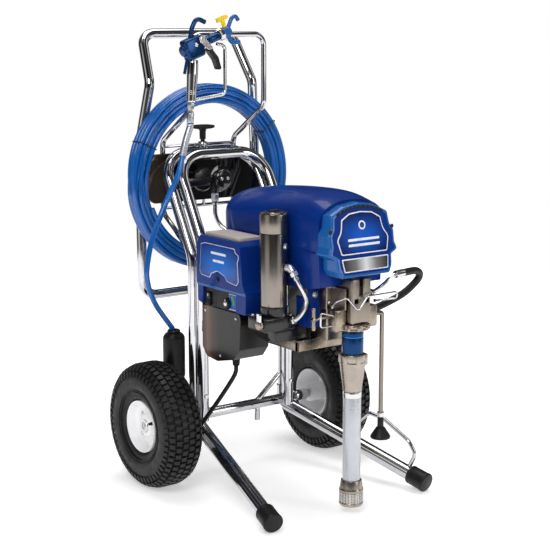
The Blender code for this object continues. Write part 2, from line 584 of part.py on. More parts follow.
# ---------------------------------------------------------------- control box and filter
def make_controls():
    left, right = BOX_LEFT, BOX_RIGHT
    side = [(-0.0600, 0.4700), (-0.0640, 0.5400), (-0.0740, 0.5560), (-0.2080, 0.5560), (-0.2200, 0.5460),
            (-0.2280, 0.4700), (-0.2400, 0.4500), (-0.2400, 0.4080), (-0.0700, 0.4080), (-0.0600, 0.4400)]
    body = loft("control_box", [[(x, y, z) for y, z in side] for x in (left, right)], "blue_cover")
    soften(body, 0.004, 1, 25)
    hollow = box("control_hollow", (left + 0.004, -0.2120, 0.3900), (right - 0.004, -0.0775, 0.5480), "blue_cover")
    pocket = box("panel_pocket", (left - 0.0100, -0.2050, 0.3800), (left + 0.0200, -0.0830, 0.4480),
                 "blue_cover")
    cut(body, hollow, pocket)
    box("control_lid", (left + 0.0080, -0.2060, 0.5560 + GAP), (right, -0.0780, 0.5620), "grey", 0.002)

    shaft = Vector((left - 0.0020, -0.1690, 0.4230))
    face = box("lower_cover", (left + 0.0045, -0.2040, 0.3000), (left + 0.0100, -0.0840, 0.4470), "black_paint")
    skirt = [(-0.0740, 0.4060), (-0.2110, 0.4060), (-0.2150, 0.3930), (-0.2100, 0.3300), (-0.1900, 0.3060),
             (-0.1300, 0.2920), (-0.0900, 0.2960), (-0.0740, 0.3150)]
    lower = loft("skirt", [[(x, y, z) for y, z in skirt] for x in (left + 0.0045, right + 0.0100)], "black_paint")
    gland = turned("cord_gland", [(0, 0), (0, 0.0080), (0.0220, 0.0105), (0.0340, 0.0105), (0.0340, 0)],
                   (-0.1050, -0.1250, 0.2740), (0, 0, 1), "plastic", 12)
    join(face, lower, gland)
    cut(face, rod("knob_hole", shaft, shaft + Vector((0.0400, 0, 0)), 0.0036),
        box("switch_hole", (left - 0.0100, -0.1085, 0.4070), (left + 0.0300, -0.0935, 0.4390), "plastic"))
    turned("pressure_knob", [(0, 0), (0, 0.0095), (0.0012, 0.0110), (0.0058, 0.0120), (0.0058, 0.0033),
                             (0.0200, 0.0033), (0.0200, 0)], shaft - Vector((0, 0, 0)), (1, 0, 0), "plastic", 16)
    box("power_switch", (left + 0.0005, -0.1080, 0.4090), (left + 0.0140, -0.0940, 0.4370), "plastic", 0.001)

    x, y = FILTER_X, FILTER_Y
    base = box("filter_base", (x - 0.0440, y - 0.0300, 0.3850), (x + 0.0330, y + 0.0300, 0.4137), "black_paint", 0.003)
    arm = box("filter_arm", (x - 0.0100, y - 0.0200, 0.3573), (x + 0.0700, y + 0.0100, 0.3900), "black_paint", 0.002)
    join(base, arm)
    stem = Vector((x - 0.0445, y - 0.0180, 0.4000))
    cut(base, rod("stem_hole", stem + Vector((-0.0100, 0, 0)), stem + Vector((0.0200, 0, 0)), 0.0045))
    valve = turned("prime_valve", [(0, 0), (0, 0.0041), (0.0165, 0.0041), (0.0165, 0.0085), (0.0240, 0.0085),
                                   (0.0240, 0)], stem + Vector((0.0150, 0, 0)), (-1, 0, 0), "nickel", 12)
    lever = box("prime_lever", stem + Vector((-0.0085, -0.0045, -0.0060)), stem + Vector((-0.0030, 0.0045, 0.0240)),
                "chrome", 0.001)
    join(valve, lever)

    r = FILTER_R
    turned("filter_bowl", [(0, 0), (0, r), (0.1668, r), (0.1668, r - 0.0008), (0.1682, r - 0.0008), (0.1682, r),
                           (0.2060, r), (0.2090, r - 0.0025), (0.2090, 0.0130), (0.2140, 0.0130), (0.2140, 0)],
           (x, y, 0.4140), (0, 0, 1), "steel", 24)

    route = [(x + 0.0105, y - 0.0282, 0.5135), (-0.1060, -0.3190, 0.5110), (-0.1010, -0.3300, 0.4940),
             (-0.0950, -0.3360, 0.4760), (-0.0860, -0.3380, 0.4580), (-0.0810, -0.3370, 0.4420),
             (-0.0880, -0.3310, 0.4200), (-0.0975, -0.3210, 0.4060), (-0.0980, -0.3108, 0.4050)]
    tube("outlet_pipe", smooth_route(route, 0.010), 0.0052, "steel", 8)


# ---------------------------------------------------------------- gun
def in_gun(a, b, c):
    """A point of the gun: a along the barrel, b across and c up."""
    return GUN + Vector((a * cos(GUN_PITCH) - c * sin(GUN_PITCH), b, a * sin(GUN_PITCH) + c * cos(GUN_PITCH)))


def gun_dir(a, b, c):
    return in_gun(a, b, c) - GUN


def gun_box(name, low, high, look, bevel=0.0, segments=1):
    made = box(name, low, high, look, bevel, segments)
    middle = (Vector(low) + Vector(high)) / 2
    made.location = in_gun(*middle)
    made.rotation_euler = (0, -GUN_PITCH, 0)
    return made


def gun_bar(name, points, radius, look, bend=0.01, sides=8):
    return bar(name, rounded([in_gun(*p) for p in points], bend, 3), radius, look, sides)


def make_gun():
    forward = gun_dir(1, 0, 0)
    body = gun_box("gun_body", (-0.0240, -0.0125, -0.0230), (0.0220, 0.0125, 0.0230), "blue_metal", 0.006, 2)
    barrel = turned("gun_barrel", [(0, 0), (0, 0.0120), (0.0500, 0.0120), (0.0560, 0.0098), (0.0995, 0.0098),
                                   (0.0995, 0)], in_gun(-0.0300, 0, 0.0015), forward, "blue_metal", 16)
    hook = gun_bar("gun_hook", [(-0.0040, 0, 0.0150), (0.0120, 0, 0.0400), (0.0300, 0, 0.0565), (0.0480, 0, 0.0400)],
                   0.0052, "blue_metal", 0.010)
    tail = gun_bar("gun_tail", [(-0.0180, 0, -0.0100), (-0.0400, 0, -0.0440)], 0.0034, "blue_metal")
    join(body, barrel, hook, tail)

    end = in_gun(-0.0454, 0, -0.1057)
    top = in_gun(-0.0090, 0, -0.0233)
    grip = turned("gun_handle", [(0, 0), (0, 0.0100), (0.0040, 0.0105), (0.0600, 0.0122), ((top - end).length, 0.0112),
                                 ((top - end).length, 0)], end, top - end, "chrome", 16)
    guard = gun_bar("gun_guard", [(-0.0400, 0, -0.1040), (0.0431, 0, -0.1225), (0.0790, 0, -0.0236),
                                  (0.0600, 0, -0.0135)], 0.0040, "chrome", 0.010)
    join(grip, guard)
    cut(grip, gun_box("grip_trim", (-0.0400, -0.0300, -0.0233), (0.0400, 0.0300, 0.0300), "chrome"))

    pivot_a, pivot_c = 0.0180, 0.0140
    outline = [(0.0300, -0.0150), (0.0400, -0.0150), (0.0500, -0.0400), (0.0490, -0.0660), (0.0410, -0.0660),
               (0.0400, -0.0420)]
    lever = plate("trigger", outline, GUN, gun_dir(1, 0, 0), gun_dir(0, 0, 1), 0.0320, "plastic")
    trim = [gun_box(f"lever_trim_{k}", (0.0200, k * 0.0160 - 0.0080, -0.0800), (0.0600, k * 0.0160 + 0.0080, -0.0300),
                    "plastic") for k in (-1, 1)]
    cut(lever, *trim)
    for k in (-1, 1):
        cheek = plate(f"trigger_cheek_{k}", [(pivot_a - 0.006, pivot_c + 0.005), (pivot_a + 0.006, pivot_c + 0.005),
                                             (0.0400, -0.0150), (0.0290, -0.0160), (pivot_a - 0.006, pivot_c - 0.006)],
                      GUN + Vector((0, k * 0.0145, 0)), gun_dir(1, 0, 0), gun_dir(0, 0, 1), 0.0022, "steel")
        join(lever, cheek)

    turned("gun_nut", [(0, 0), (0, 0.0138), (0.0120, 0.0138), (0.0120, 0)], in_gun(0.0698, 0, 0.0015), forward,
           "chrome", 8)
    seat = 0.0821
    ring = turned("tip_guard", [(0, 0), (0, 0.0125), (0.0190, 0.0115), (0.0190, 0)], in_gun(seat, 0, 0.0015), forward,
                  "blue_hose", 16)
    upper = gun_bar("guard_upper", [(seat + 0.0160, 0, 0.0060), (seat + 0.0330, 0, 0.0240), (seat + 0.0450, 0, 0.0270),
                                    (seat + 0.0490, 0, 0.0140)], 0.0046, "blue_hose", 0.008, 6)
    lower = gun_bar("guard_lower", [(seat + 0.0120, 0, -0.0060), (seat + 0.0160, 0, -0.0240),
                                    (seat + 0.0360, 0, -0.0310)], 0.0052, "blue_hose", 0.008, 6)
    join(ring, upper, lower)
    base = in_gun(seat + 0.0095, 0, -0.0110)
    up = gun_dir(0, 0, 1)
    cut(ring, rod("tip_bore", base, base + up * 0.0600, 0.0050))
    tip = rod("spray_tip", base + up * GAP, base + up * 0.0410, 0.0047, "yellow", 12)
    flag = gun_box("tip_flag", (seat - 0.0075, -0.0035, 0.0280), (seat + 0.0265, 0.0035, 0.0370), "yellow", 0.001)
    join(tip, flag)

    # Below the grip: two swivels, a smooth sleeve and a sprung one.
    along = end - top
    turned("hose_end", [(0, 0), (0, 0.0080), (0.0150, 0.0080), (0.0155, 0.0055), (0.0190, 0.0055), (0.0195, 0.0078),
                        (0.0420, 0.0078), (0.0430, 0.0070), (0.0440, 0)], end + along.normalized() * GAP, along,
           "steel", 12)


def make_cords():
    end = in_gun(-0.0454, 0, -0.1057)
    along = (end - in_gun(-0.0090, 0, -0.0233)).normalized()
    tail = end + along * 0.0456
    hose = [tail, tail + along * 0.0080, (-0.1360, 0.0180, 0.7386), (-0.1600, 0.0060, 0.6800), (-0.2060, -0.0100, 0.6162),
            (-0.2396, -0.0100, 0.5434), (-0.2531, -0.0100, 0.4848), (-0.2500, -0.0080, 0.4480),
            (-0.2290, 0.0020, 0.4060), (-0.1960, 0.0190, 0.3680), (-0.1640, 0.0340, 0.3345)]
    tube("whip_hose", smooth_route(hose, 0.022), HOSE_D / 2, "blue_hose", 8)

    lead = [(-0.1050, -0.1250, 0.2728), (-0.1050, -0.1250, 0.2640), (-0.1100, -0.1200, 0.2460), (-0.1300, -0.0900, 0.1900),
            (-0.1580, -0.0400, 0.1100), (-0.1580, 0.0200, 0.0450), (-0.1450, 0.0600, 0.0130),
            (-0.1150, 0.0800, 0.0052), (-0.1030, 0.0960, 0.0052)]
    tube("power_cord", smooth_route(lead, 0.022), MAINS_D / 2, "rubber", 8)
    turned("cord_coil", [(0, 0.0380), (0, 0.0600), (0.0280, 0.0600), (0.0280, 0.0380)], (-0.0950, 0.1590, 0.0003),
           (0, 0, 1), "rubber", 24)
    plug = box("mains_plug", (-0.1250, 0.1450, 0.0290), (-0.0750, 0.1730, 0.0530), "plastic", 0.005)
    for k in (-1, 1):
        join(plug, box(f"plug_blade_{k}", (-0.1430, 0.1582 + k * 0.006, 0.0380), (-0.1200, 0.1598 + k * 0.006, 0.0440),
                       "steel"))


make_cart()
make_wheels()
make_reel()
make_covers()
make_drive()
make_pump()
make_bails()
make_controls()
make_gun()
make_cords()
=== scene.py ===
"""Airless paint sprayer: its detailed pieces and their finishes.

Metres, +Z up. Positions are given from the floor under the axle, which stands AXLE_Y behind the origin.
"""

import json
import random
from math import atan2, cos, pi, radians, sin, tan

import bmesh
import bpy
from mathutils import Matrix, Vector


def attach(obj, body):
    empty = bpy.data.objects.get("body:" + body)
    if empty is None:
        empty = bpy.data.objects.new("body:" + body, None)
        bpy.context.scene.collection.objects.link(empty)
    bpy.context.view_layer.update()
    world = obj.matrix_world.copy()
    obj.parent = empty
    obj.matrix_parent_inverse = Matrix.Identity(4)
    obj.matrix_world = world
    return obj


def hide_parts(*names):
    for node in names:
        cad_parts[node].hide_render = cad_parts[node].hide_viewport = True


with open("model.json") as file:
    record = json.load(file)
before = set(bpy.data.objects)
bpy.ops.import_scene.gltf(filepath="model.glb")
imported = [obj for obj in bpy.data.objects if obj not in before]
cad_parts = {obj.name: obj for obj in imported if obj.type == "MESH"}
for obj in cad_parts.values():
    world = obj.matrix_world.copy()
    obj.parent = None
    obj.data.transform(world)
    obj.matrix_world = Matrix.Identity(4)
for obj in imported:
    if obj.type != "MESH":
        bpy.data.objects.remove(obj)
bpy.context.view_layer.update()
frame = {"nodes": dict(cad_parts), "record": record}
SCENE = bpy.context.scene
BODY_OF = {node: body for body, nodes in frame["record"]["behaviour"]["bodies"].items() for node in nodes}

SHOWN = set()  # the CAD nodes that already have a piece standing for them

UP, RIGHT, LEFT, BACK, FRONT = (0, 0, 1), (1, 0, 0), (-1, 0, 0), (0, 1, 0), (0, -1, 0)
SIDES = ((-1, "left"), (1, "right"))
AXLE_Y = 0.1023
HOME = Vector((0, AXLE_Y, 0))
TYRE_R, TYRE_W, RIM_R, TRACK = 0.1375, 0.095, 0.0565, 0.467
HUB_Z = 0.65
PUMP_Y = -0.386
BOX_LEFT, BOX_RIGHT = -0.161, -0.092
FILTER = Vector((-0.12, -0.28, 0))
FILTER_R = 0.0285
GUN = Vector((-0.1075, 0.026, 0.942))
PITCH = radians(20)
LEAN = radians(30)
LOCK = Vector((-0.0115, 0.1363, 0.712))  # the foot of the reel's lock pin
FOOT, BEND = Vector((0.205, -0.395, 0.0208)), Vector((0.123, 0.011, 0.1265))
LEG_R, LOOP_R = 0.0155, 0.0127
WHIP_R, WOUND_R, LEAD_R = 0.006, 0.0056, 0.0047
CREASE_DEG = 28  # edges sharper than this are bevelled
CAMERA_AT, LENS_MM, SENSOR_MM = Vector((-1.742, -2.4626, 0.9956)), 89.83, 36
AZIMUTH, ELEVATION = radians(-36.67), radians(10.43)


def put(name, data, at):
    """A new object in the scene."""
    made = bpy.data.objects.new(name, data)
    SCENE.collection.objects.link(made)
    made.location = at
    return made


def aim(made, direction):
    """Turns a camera or a lamp to look this way, with its top up."""
    made.rotation_mode = "QUATERNION"
    made.rotation_quaternion = direction.to_track_quat("-Z", "Y")


def make_camera():
    camera = put("camera", bpy.data.cameras.new("camera"), CAMERA_AT + HOME)
    back = Vector((sin(AZIMUTH) * cos(ELEVATION), -cos(AZIMUTH) * cos(ELEVATION), sin(ELEVATION)))
    aim(camera, -back)
    camera.data.sensor_width = SENSOR_MM
    camera.data.lens = LENS_MM
    camera.data.clip_end = 100
    SCENE.camera = camera


make_camera()


# ---------------------------------------------------------------- materials
class Nodes:
    """The node tree of a material or of the world, put together step by step."""

    def __init__(self, owner):
        owner.use_nodes = True
        self.tree = owner.node_tree
        self.place = self.node("ShaderNodeTexCoord")

    def node(self, kind, **settings):
        made = self.tree.nodes.new(kind)
        for name, value in settings.items():
            setattr(made, name, value)
        return made

    def link(self, a, b):
        self.tree.links.new(a, b)

    def ramp(self, source, stops):
        """A colour band read at source. A stop's value is a colour or a grey."""
        made = self.node("ShaderNodeValToRGB")
        band = made.color_ramp
        while len(band.elements) < len(stops):
            band.elements.new(0.5)
        for element, (at, value) in zip(band.elements, stops):
            element.position = at
            element.color = (*value, 1) if isinstance(value, tuple) else (value, value, value, 1)
        self.link(source, made.inputs["Fac"])
        return made.outputs["Color"]

    def vector(self, operation, source, by=None):
        """A vector sum. LENGTH gives a number."""
        made = self.node("ShaderNodeVectorMath", operation=operation)
        self.link(source, made.inputs[0])
        if by is not None:
            made.inputs[1].default_value = by
        return made.outputs["Value" if operation == "LENGTH" else "Vector"]


class Finish(Nodes):
    """A node material."""

    def __init__(self, name):
        self.material = bpy.data.materials.new(name)
        super().__init__(self.material)
        self.shader = self.tree.nodes["Principled BSDF"]
        self.height = None

    def uniform(self, **values):
        for name, value in values.items():
            self.shader.inputs[name.replace("_", " ")].default_value = value

    def where(self, stretch=(1, 1, 1)):
        mapping = self.node("ShaderNodeMapping")
        mapping.inputs["Scale"].default_value = stretch
        self.link(self.place.outputs["Object"], mapping.inputs["Vector"])
        return mapping.outputs["Vector"]

    def noise(self, scale, detail=3, stretch=(1, 1, 1)):
        made = self.node("ShaderNodeTexNoise")
        made.inputs["Scale"].default_value = scale
        made.inputs["Detail"].default_value = detail
        made.inputs["Roughness"].default_value = 0.55
        self.link(self.where(stretch), made.inputs["Vector"])
        return made.outputs["Fac"]

    def colour(self, source, stops):
        self.link(self.ramp(source, stops), self.shader.inputs["Base Color"])

    def roughness(self, source, low, high):
        self.link(self.ramp(source, [(0.3, low), (0.7, high)]), self.shader.inputs["Roughness"])

    def bump(self, source, depth, strength=1.0):
        made = self.node("ShaderNodeBump")
        made.inputs["Distance"].default_value = depth
        made.inputs["Strength"].default_value = strength
        self.link(source, made.inputs["Height"])
        if self.height:
            self.link(self.height, made.inputs["Normal"])
        self.height = made.outputs["Normal"]
        self.link(self.height, self.shader.inputs["Normal"])


def tint(colour, by):
    """The colour made lighter or darker."""
    return tuple(min(1, c * by) for c in colour)


def coated(name, colour, rough, spread, grain, depth, metal=0.0, coat=0.0, vary=0.12, wide=9, gloss=0.35):
    """Paint or moulded plastic: slight colour and gloss variation over a fine surface grain."""
    made = Finish(name)
    made.colour(made.noise(wide, 4), [(0.3, tint(colour, 1 - vary)), (0.7, tint(colour, 1 + vary))])
    made.roughness(made.noise(38, 5), max(0.02, rough - spread), rough + spread)
    made.bump(made.noise(grain, 2), depth)
    made.uniform(Metallic=metal, Specular_IOR_Level=gloss)
    if coat:
        made.uniform(Coat_Weight=coat, Coat_Roughness=0.06)
    return made.material


def metal(name, colour, rough, spread, grain, depth, stretch=(1, 1, 1), vary=0.08, wide=14):
    """Bare or plated metal, with its grain stretched along the direction it was worked in."""
    made = Finish(name)
    made.colour(made.noise(wide, 4), [(0.3, tint(colour, 1 - vary)), (0.72, tint(colour, 1 + vary))])
    made.roughness(made.noise(grain * 0.25, 4, stretch=stretch), max(0.02, rough - spread), rough + spread)
    made.bump(made.noise(grain, 3, stretch=stretch), depth)
    made.uniform(Metallic=1.0)
    return made.material


def ribbed():
    """Pale anodised tube with fine turned rings."""
    made = Finish("ribbed_tube")
    made.colour(made.noise(30, 3), [(0.3, (0.5, 0.51, 0.55)), (0.7, (0.56, 0.57, 0.61))])
    made.roughness(made.noise(12, 2), 0.26, 0.32)
    wave = made.node("ShaderNodeTexWave", wave_type="BANDS", bands_direction="Z")
    wave.inputs["Scale"].default_value = 42
    made.link(made.where(), wave.inputs["Vector"])
    made.bump(wave.outputs["Fac"], 0.0001, 0.4)
    made.uniform(Metallic=0.45)
    return made.material


def gradient(name, axis, stops, rough, metallic, coat=0.0):
    """A colour that runs from one side of a piece to the other. Each use here paints light into the colour:
    the drum's end highlight, the name plate's reflection band and the lower cover's copper reflection.
    """
    made = Finish(name)
    parts = made.node("ShaderNodeSeparateXYZ")
    made.link(made.place.outputs["Generated"], parts.inputs["Vector"])
    made.colour(parts.outputs[axis], stops)
    made.roughness(made.noise(60, 4, stretch=(1, 1, 0.2)), rough * 0.9, rough * 1.1)
    made.bump(made.noise(300, 2, stretch=(1, 1, 0.2)), 0.000004)
    made.uniform(Metallic=metallic, Specular_IOR_Level=0.28)
    if coat:
        made.uniform(Coat_Weight=coat, Coat_Roughness=0.05)
    return made.material


def glow(name, across, middle, edge):
    """A badge that is bright in its middle and dark towards its edges. across leaves out its thin side."""
    made = Finish(name)
    shift = made.vector("SUBTRACT", made.place.outputs["Generated"], (0.5, 0.5, 0.42))
    reach = made.vector("LENGTH", made.vector("MULTIPLY", shift, across))
    made.colour(reach, [(0.12, middle), (0.62, edge)])
    made.roughness(made.noise(80, 3), 0.16, 0.26)
    made.bump(made.noise(1200, 2), 0.00001)
    made.uniform(Coat_Weight=0.25, Coat_Roughness=0.05, Specular_IOR_Level=0.2)
    return made.material


def tyre_rubber():
    """Dull black rubber with a fine grain over a coarser one."""
    made = Finish("tyre_rubber")
    made.colour(made.noise(45, 6), [(0.3, (0.003, 0.003, 0.0035)), (0.75, (0.011, 0.01, 0.01))])
    made.roughness(made.noise(70, 4), 0.42, 0.66)
    made.bump(made.noise(260, 5), 0.00018)
    made.bump(made.noise(1800, 2), 0.00004)
    made.uniform(Specular_IOR_Level=0.4)
    return made.material


# Gold at the drum's left end, fading to black within a quarter of its length: a painted highlight where the
# rounded end catches the light.
PAINTED_HIGHLIGHT_TO_BLACK = [(0.0, (0.14, 0.1, 0.06)), (0.08, (0.09, 0.066, 0.04)), (0.24, (0.014, 0.012, 0.01)),
                 (0.45, (0.007, 0.006, 0.006)), (1.0, (0.006, 0.006, 0.007))]
# Dark at both ends and light in the middle: a painted reflection band across the name plate.
PAINTED_REFLECTION_BAND = [(0.0, (0.01, 0.01, 0.012)), (0.28, (0.16, 0.16, 0.165)), (0.5, (0.7, 0.7, 0.71)),
                   (0.74, (0.18, 0.18, 0.185)), (1.0, (0.012, 0.012, 0.014))]
# Black with a copper band near the back end: the band is a painted reflection of warm light on the glossy
# cover.
BLACK_WITH_PAINTED_REFLECTION = [(0.0, (0.005, 0.005, 0.005)), (0.55, (0.006, 0.006, 0.006)), (0.74, (0.05, 0.03, 0.019)),
                     (0.86, (0.15, 0.085, 0.05)), (1.0, (0.006, 0.005, 0.005))]
LOOK = {
    "chrome": metal("chrome_plate", (0.54, 0.54, 0.56), 0.085, 0.03, 90, 0.000004, vary=0.03),
    "steel": metal("brushed_steel", (0.25, 0.222, 0.195), 0.24, 0.05, 260, 0.000006, (1, 1, 0.05)),
    "bright_steel": metal("bright_steel", (0.62, 0.61, 0.6), 0.17, 0.04, 300, 0.000005, vary=0.05),
    "nickel": metal("dull_nickel", (0.32, 0.27, 0.22), 0.27, 0.06, 260, 0.00003, vary=0.16, wide=45),
    "pale_nickel": metal("pale_nickel", (0.37, 0.325, 0.28), 0.28, 0.05, 200, 0.00001, vary=0.08, wide=45),
    "cast": metal("sand_cast", (0.29, 0.25, 0.21), 0.34, 0.06, 320, 0.00004, vary=0.12, wide=40),
    "drum": gradient("drum_painted_end_highlight", "X", PAINTED_HIGHLIGHT_TO_BLACK, 0.1, 0.3, 0.5),
    "knob_gloss": coated("knob_gloss", (0.008, 0.008, 0.008), 0.08, 0.04, 120, 0.00001, coat=0.7),
    "black_paint": coated("black_gloss", (0.006, 0.006, 0.007), 0.22, 0.07, 260, 0.00003, coat=0.25),
    "rubber": coated("black_rubber", (0.005, 0.005, 0.0055), 0.46, 0.09, 700, 0.00004, gloss=0.3),
    "tyre": tyre_rubber(),
    "plastic": coated("black_plastic", (0.005, 0.005, 0.0055), 0.34, 0.07, 700, 0.00002, gloss=0.28),
    "blue_cover": coated("royal_blue", (0.002, 0.025, 0.19), 0.34, 0.04, 300, 0.000003,
                         coat=0.2, vary=0.08, gloss=0.1),
    # A lighter copy of the cover blue. On the front cover's rim and the control box's lip it is a painted
    # highlight along their edges; the tip guard wears it too.
    "blue_rim": coated("bright_blue_and_painted_rim_highlight", (0.008, 0.095, 0.33), 0.28, 0.04, 300, 0.000003,
                         coat=0.34, vary=0.08, gloss=0.2),
    "blue_hose": coated("hose_blue", (0.001, 0.1, 0.39), 0.17, 0.04, 300, 0.000008,
                         coat=0.4, vary=0.14, wide=30),
    "blue_metal": coated("blue_anodised", (0.003, 0.036, 0.13), 0.22, 0.05, 400, 0.000006,
                         metal=0.6, vary=0.12),
    "blue_ring": coated("blue_ring", (0.03, 0.2, 0.6), 0.2, 0.06, 600, 0.00002, metal=0.8),
    "white": coated("white_paint", (0.92, 0.92, 0.93), 0.32, 0.08, 300, 0.00008, vary=0.03),
    "pale": ribbed(),
    "yellow": coated("yellow_plastic", (0.9, 0.62, 0.015), 0.34, 0.08, 900, 0.00003),
    "lid": coated("lid_grey", (0.5, 0.44, 0.41), 0.46, 0.1, 500, 0.00008, vary=0.08),
    "silver": coated("silver_line", (0.8, 0.82, 0.86), 0.3, 0.06, 500, 0.000004, metal=0.25, vary=0.04),
    "green": coated("label_green", (0.035, 0.3, 0.06), 0.35, 0.06, 900, 0.00002),
    "label_blue": coated("label_blue", (0.01, 0.06, 0.36), 0.35, 0.06, 900, 0.00002),
    # Dark for hollows: vents, holes, the nose slot, the cap's notches and the bowl's groove stand as dark
    # sheets that paint their shade. The filter cap's tab is dark too.
    "dark": coated("dark_and_painted_hollow_shade", (0.003, 0.003, 0.004), 0.6, 0.1, 500, 0.00003),
    "sleeve": metal("sleeve_grey", (0.6, 0.62, 0.66), 0.3, 0.06, 500, 0.00001),
    "badge": glow("badge_blue", (1, 0, 1), (0.008, 0.085, 0.48), (0.002, 0.004, 0.03)),
    "side_badge": glow("side_badge_blue", (0, 1, 1), (0.008, 0.15, 0.6), (0.003, 0.03, 0.2)),
    "plate": gradient("plate_painted_reflection", "X", PAINTED_REFLECTION_BAND, 0.3, 0.3),
    "black_painted_reflection": gradient("black_with_painted_copper_reflection", "Y", BLACK_WITH_PAINTED_REFLECTION, 0.2, 0.0, 0.06),
}


# ---------------------------------------------------------------- shapes
def add(name, mesh, look, node, angle=32):
    """A piece at home on the sprayer, riding with the CAD node it stands for or sits on."""
    mesh.shade_smooth()
    mesh.set_sharp_from_angle(angle=radians(angle))
    mesh.materials.clear()
    mesh.materials.append(LOOK[look])
    made = put(name, mesh, HOME)
    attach(made, BODY_OF[node])
    if node not in SHOWN:
        SHOWN.add(node)
        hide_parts(node)
    return made


def mesh_from(form, name):
    """The mesh of a finished form, with its faces turned outwards."""
    bmesh.ops.recalc_face_normals(form, faces=form.faces)
    mesh = bpy.data.meshes.new(name)
    form.to_mesh(mesh)
    form.free()
    return mesh


def chamfer(form, width, segments):
    """Rounds every sharp edge."""
    sharp = [e for e in form.edges if len(e.link_faces) == 2 and e.calc_face_angle(0) > radians(CREASE_DEG)]
    bmesh.ops.bevel(form, geom=sharp, offset=width, segments=segments, profile=0.5, affect="EDGES",
        clamp_overlap=True)


def rounded(corners, radius, steps=10, closed=False):
    """A line through the corners that turns each of them on an arc."""
    corners = [Vector(c) for c in corners]
    count = len(corners)
    path = []
    for i, corner in enumerate(corners):
        if not closed and i in (0, count - 1):
            path.append(corner)
            continue
        behind = corners[i - 1] - corner
        on = corners[(i + 1) % count] - corner
        turn = pi - behind.angle(on)
        if turn < 0.03:
            path.append(corner)
            continue
        cut = min(radius * tan(turn / 2), 0.48 * behind.length, 0.48 * on.length)
        bend = cut / tan(turn / 2)
        behind.normalize()
        on.normalize()
        centre = corner + (behind + on).normalized() * (bend / cos(turn / 2))
        first, last = corner + behind * cut - centre, corner + on * cut - centre
        for k in range(steps + 1):
            a = turn * k / steps
            path.append(centre + (first * sin(turn - a) + last * sin(a)) / sin(turn))
    return path


def length_of(path):
    """The length of a line through these points."""
    return sum((q - p).length for p, q in zip(path, path[1:]))


def smooth_route(points, spacing):
    """A Catmull-Rom curve through the points, read at even steps."""
    points = [Vector(p) for p in points]
    ends = [2 * points[0] - points[1]] + points + [2 * points[-1] - points[-2]]
    fine = []
    for a, b, c, d in zip(ends, ends[1:], ends[2:], ends[3:]):
        for k in range(24):
            t = k / 24
            bent = (2 * a - 5 * b + 4 * c - d) * t**2 + (3 * b - a - 3 * c + d) * t**3
            fine.append(0.5 * (2 * b + (c - a) * t + bent))
    fine.append(points[-1])
    length = length_of(fine)
    count = max(2, round(length / spacing))
    even, walked, want = [fine[0]], 0.0, length / count
    for p, q in zip(fine, fine[1:]):
        step = (q - p).length
        while len(even) < count and walked + step >= want * len(even):
            even.append(p.lerp(q, (want * len(even) - walked) / step))
        walked += step
    return even + [fine[-1]]


def pipe(name, path, radius, look, node, sides=28, closed=False, ease=0.0006):
    """A round bar along a path. radius is a number or one per point. ease is the bevel of its two ends."""
    path = [Vector(p) for p in path]
    count = len(path)
    radii = [radius] * count if isinstance(radius, (int, float)) else list(radius)
    if not closed and ease:
        start, end = (path[0] - path[1]).normalized(), (path[-1] - path[-2]).normalized()
        path = [path[0], path[0] - start * ease] + path[1:-1] + [path[-1] - end * ease, path[-1]]
        radii = [radii[0] - ease, radii[0]] + radii[1:-1] + [radii[-1], radii[-1] - ease]
        count = len(path)
    form = bmesh.new()
    rings = []
    side = None
    for i, at in enumerate(path):
        before = path[i - 1 if closed or i else 0]
        after = path[(i + 1) % count if closed else min(i + 1, count - 1)]
        along = (after - before).normalized()
        if side is None:
            side = along.orthogonal().normalized()
        side = (side - along * side.dot(along)).normalized()
        other = along.cross(side)
        circle = [side * cos(a) + other * sin(a) for k, a in around(sides)]
        rings.append([form.verts.new(at + point * radii[i]) for point in circle])
    for a, b in zip(rings, rings[1:]):
        for k in range(sides):
            j = (k + 1) % sides
            form.faces.new((a[k], a[j], b[j], b[k]))
    if closed:
        a, b = rings[-1], rings[0]
        turn = min(range(sides), key=lambda s: (b[s].co - a[0].co).length)
        for k in range(sides):
            form.faces.new((a[k], a[(k + 1) % sides], b[(k + 1 + turn) % sides], b[(k + turn) % sides]))
    else:
        form.faces.new(reversed(rings[0]))
        form.faces.new(rings[-1])
    return add(name, mesh_from(form, name), look, node, 40)


def soft_profile(profile, radius):
    """The profile with its corners turned through small arcs, so that they catch the light."""
    out = []
    for i, (a, r) in enumerate(profile):
        here = Vector((a, r))
        before, after = Vector(profile[i - 1]), Vector(profile[(i + 1) % len(profile)])
        if r < 1e-6:
            out.append((a, r))
            continue
        u, v = before - here, after - here
        if u.length < 1e-7 or v.length < 1e-7:
            out.append((a, r))
            continue
        cut = min(radius, u.length * 0.4, v.length * 0.4)
        p, q = here + u.normalized() * cut, here + v.normalized() * cut
        middle = (p + q) / 4 + here / 2
        out += [tuple(p), tuple(middle), tuple(q)]
    return out


def turned(name, profile, start, axis, look, node, steps=56, soft=0.0005):
    """A solid of revolution about an axis. The profile is (along, radius) pairs of a closed outline."""
    if soft:
        profile = soft_profile(profile, soft)
    turn = Vector((0, 0, 1)).rotation_difference(Vector(axis).normalized())
    start = Vector(start)
    form = bmesh.new()
    rings = []
    for along, radius in profile:
        if radius < 1e-6:
            rings.append([form.verts.new(start + turn @ Vector((0, 0, along)))])
            continue
        circle = [Vector((radius * cos(a), radius * sin(a), along)) for k, a in around(steps)]
        rings.append([form.verts.new(start + turn @ point) for point in circle])
    for a, b in zip(rings, rings[1:] + rings[:1]):
        if len(a) == 1 and len(b) == 1:
            continue
        for k in range(steps):
            j = (k + 1) % steps
            ring = [a[k % len(a)], a[j % len(a)], b[j % len(b)], b[k % len(b)]]
            form.faces.new([v for i, v in enumerate(ring) if v not in ring[:i]])
    return add(name, mesh_from(form, name), look, node)


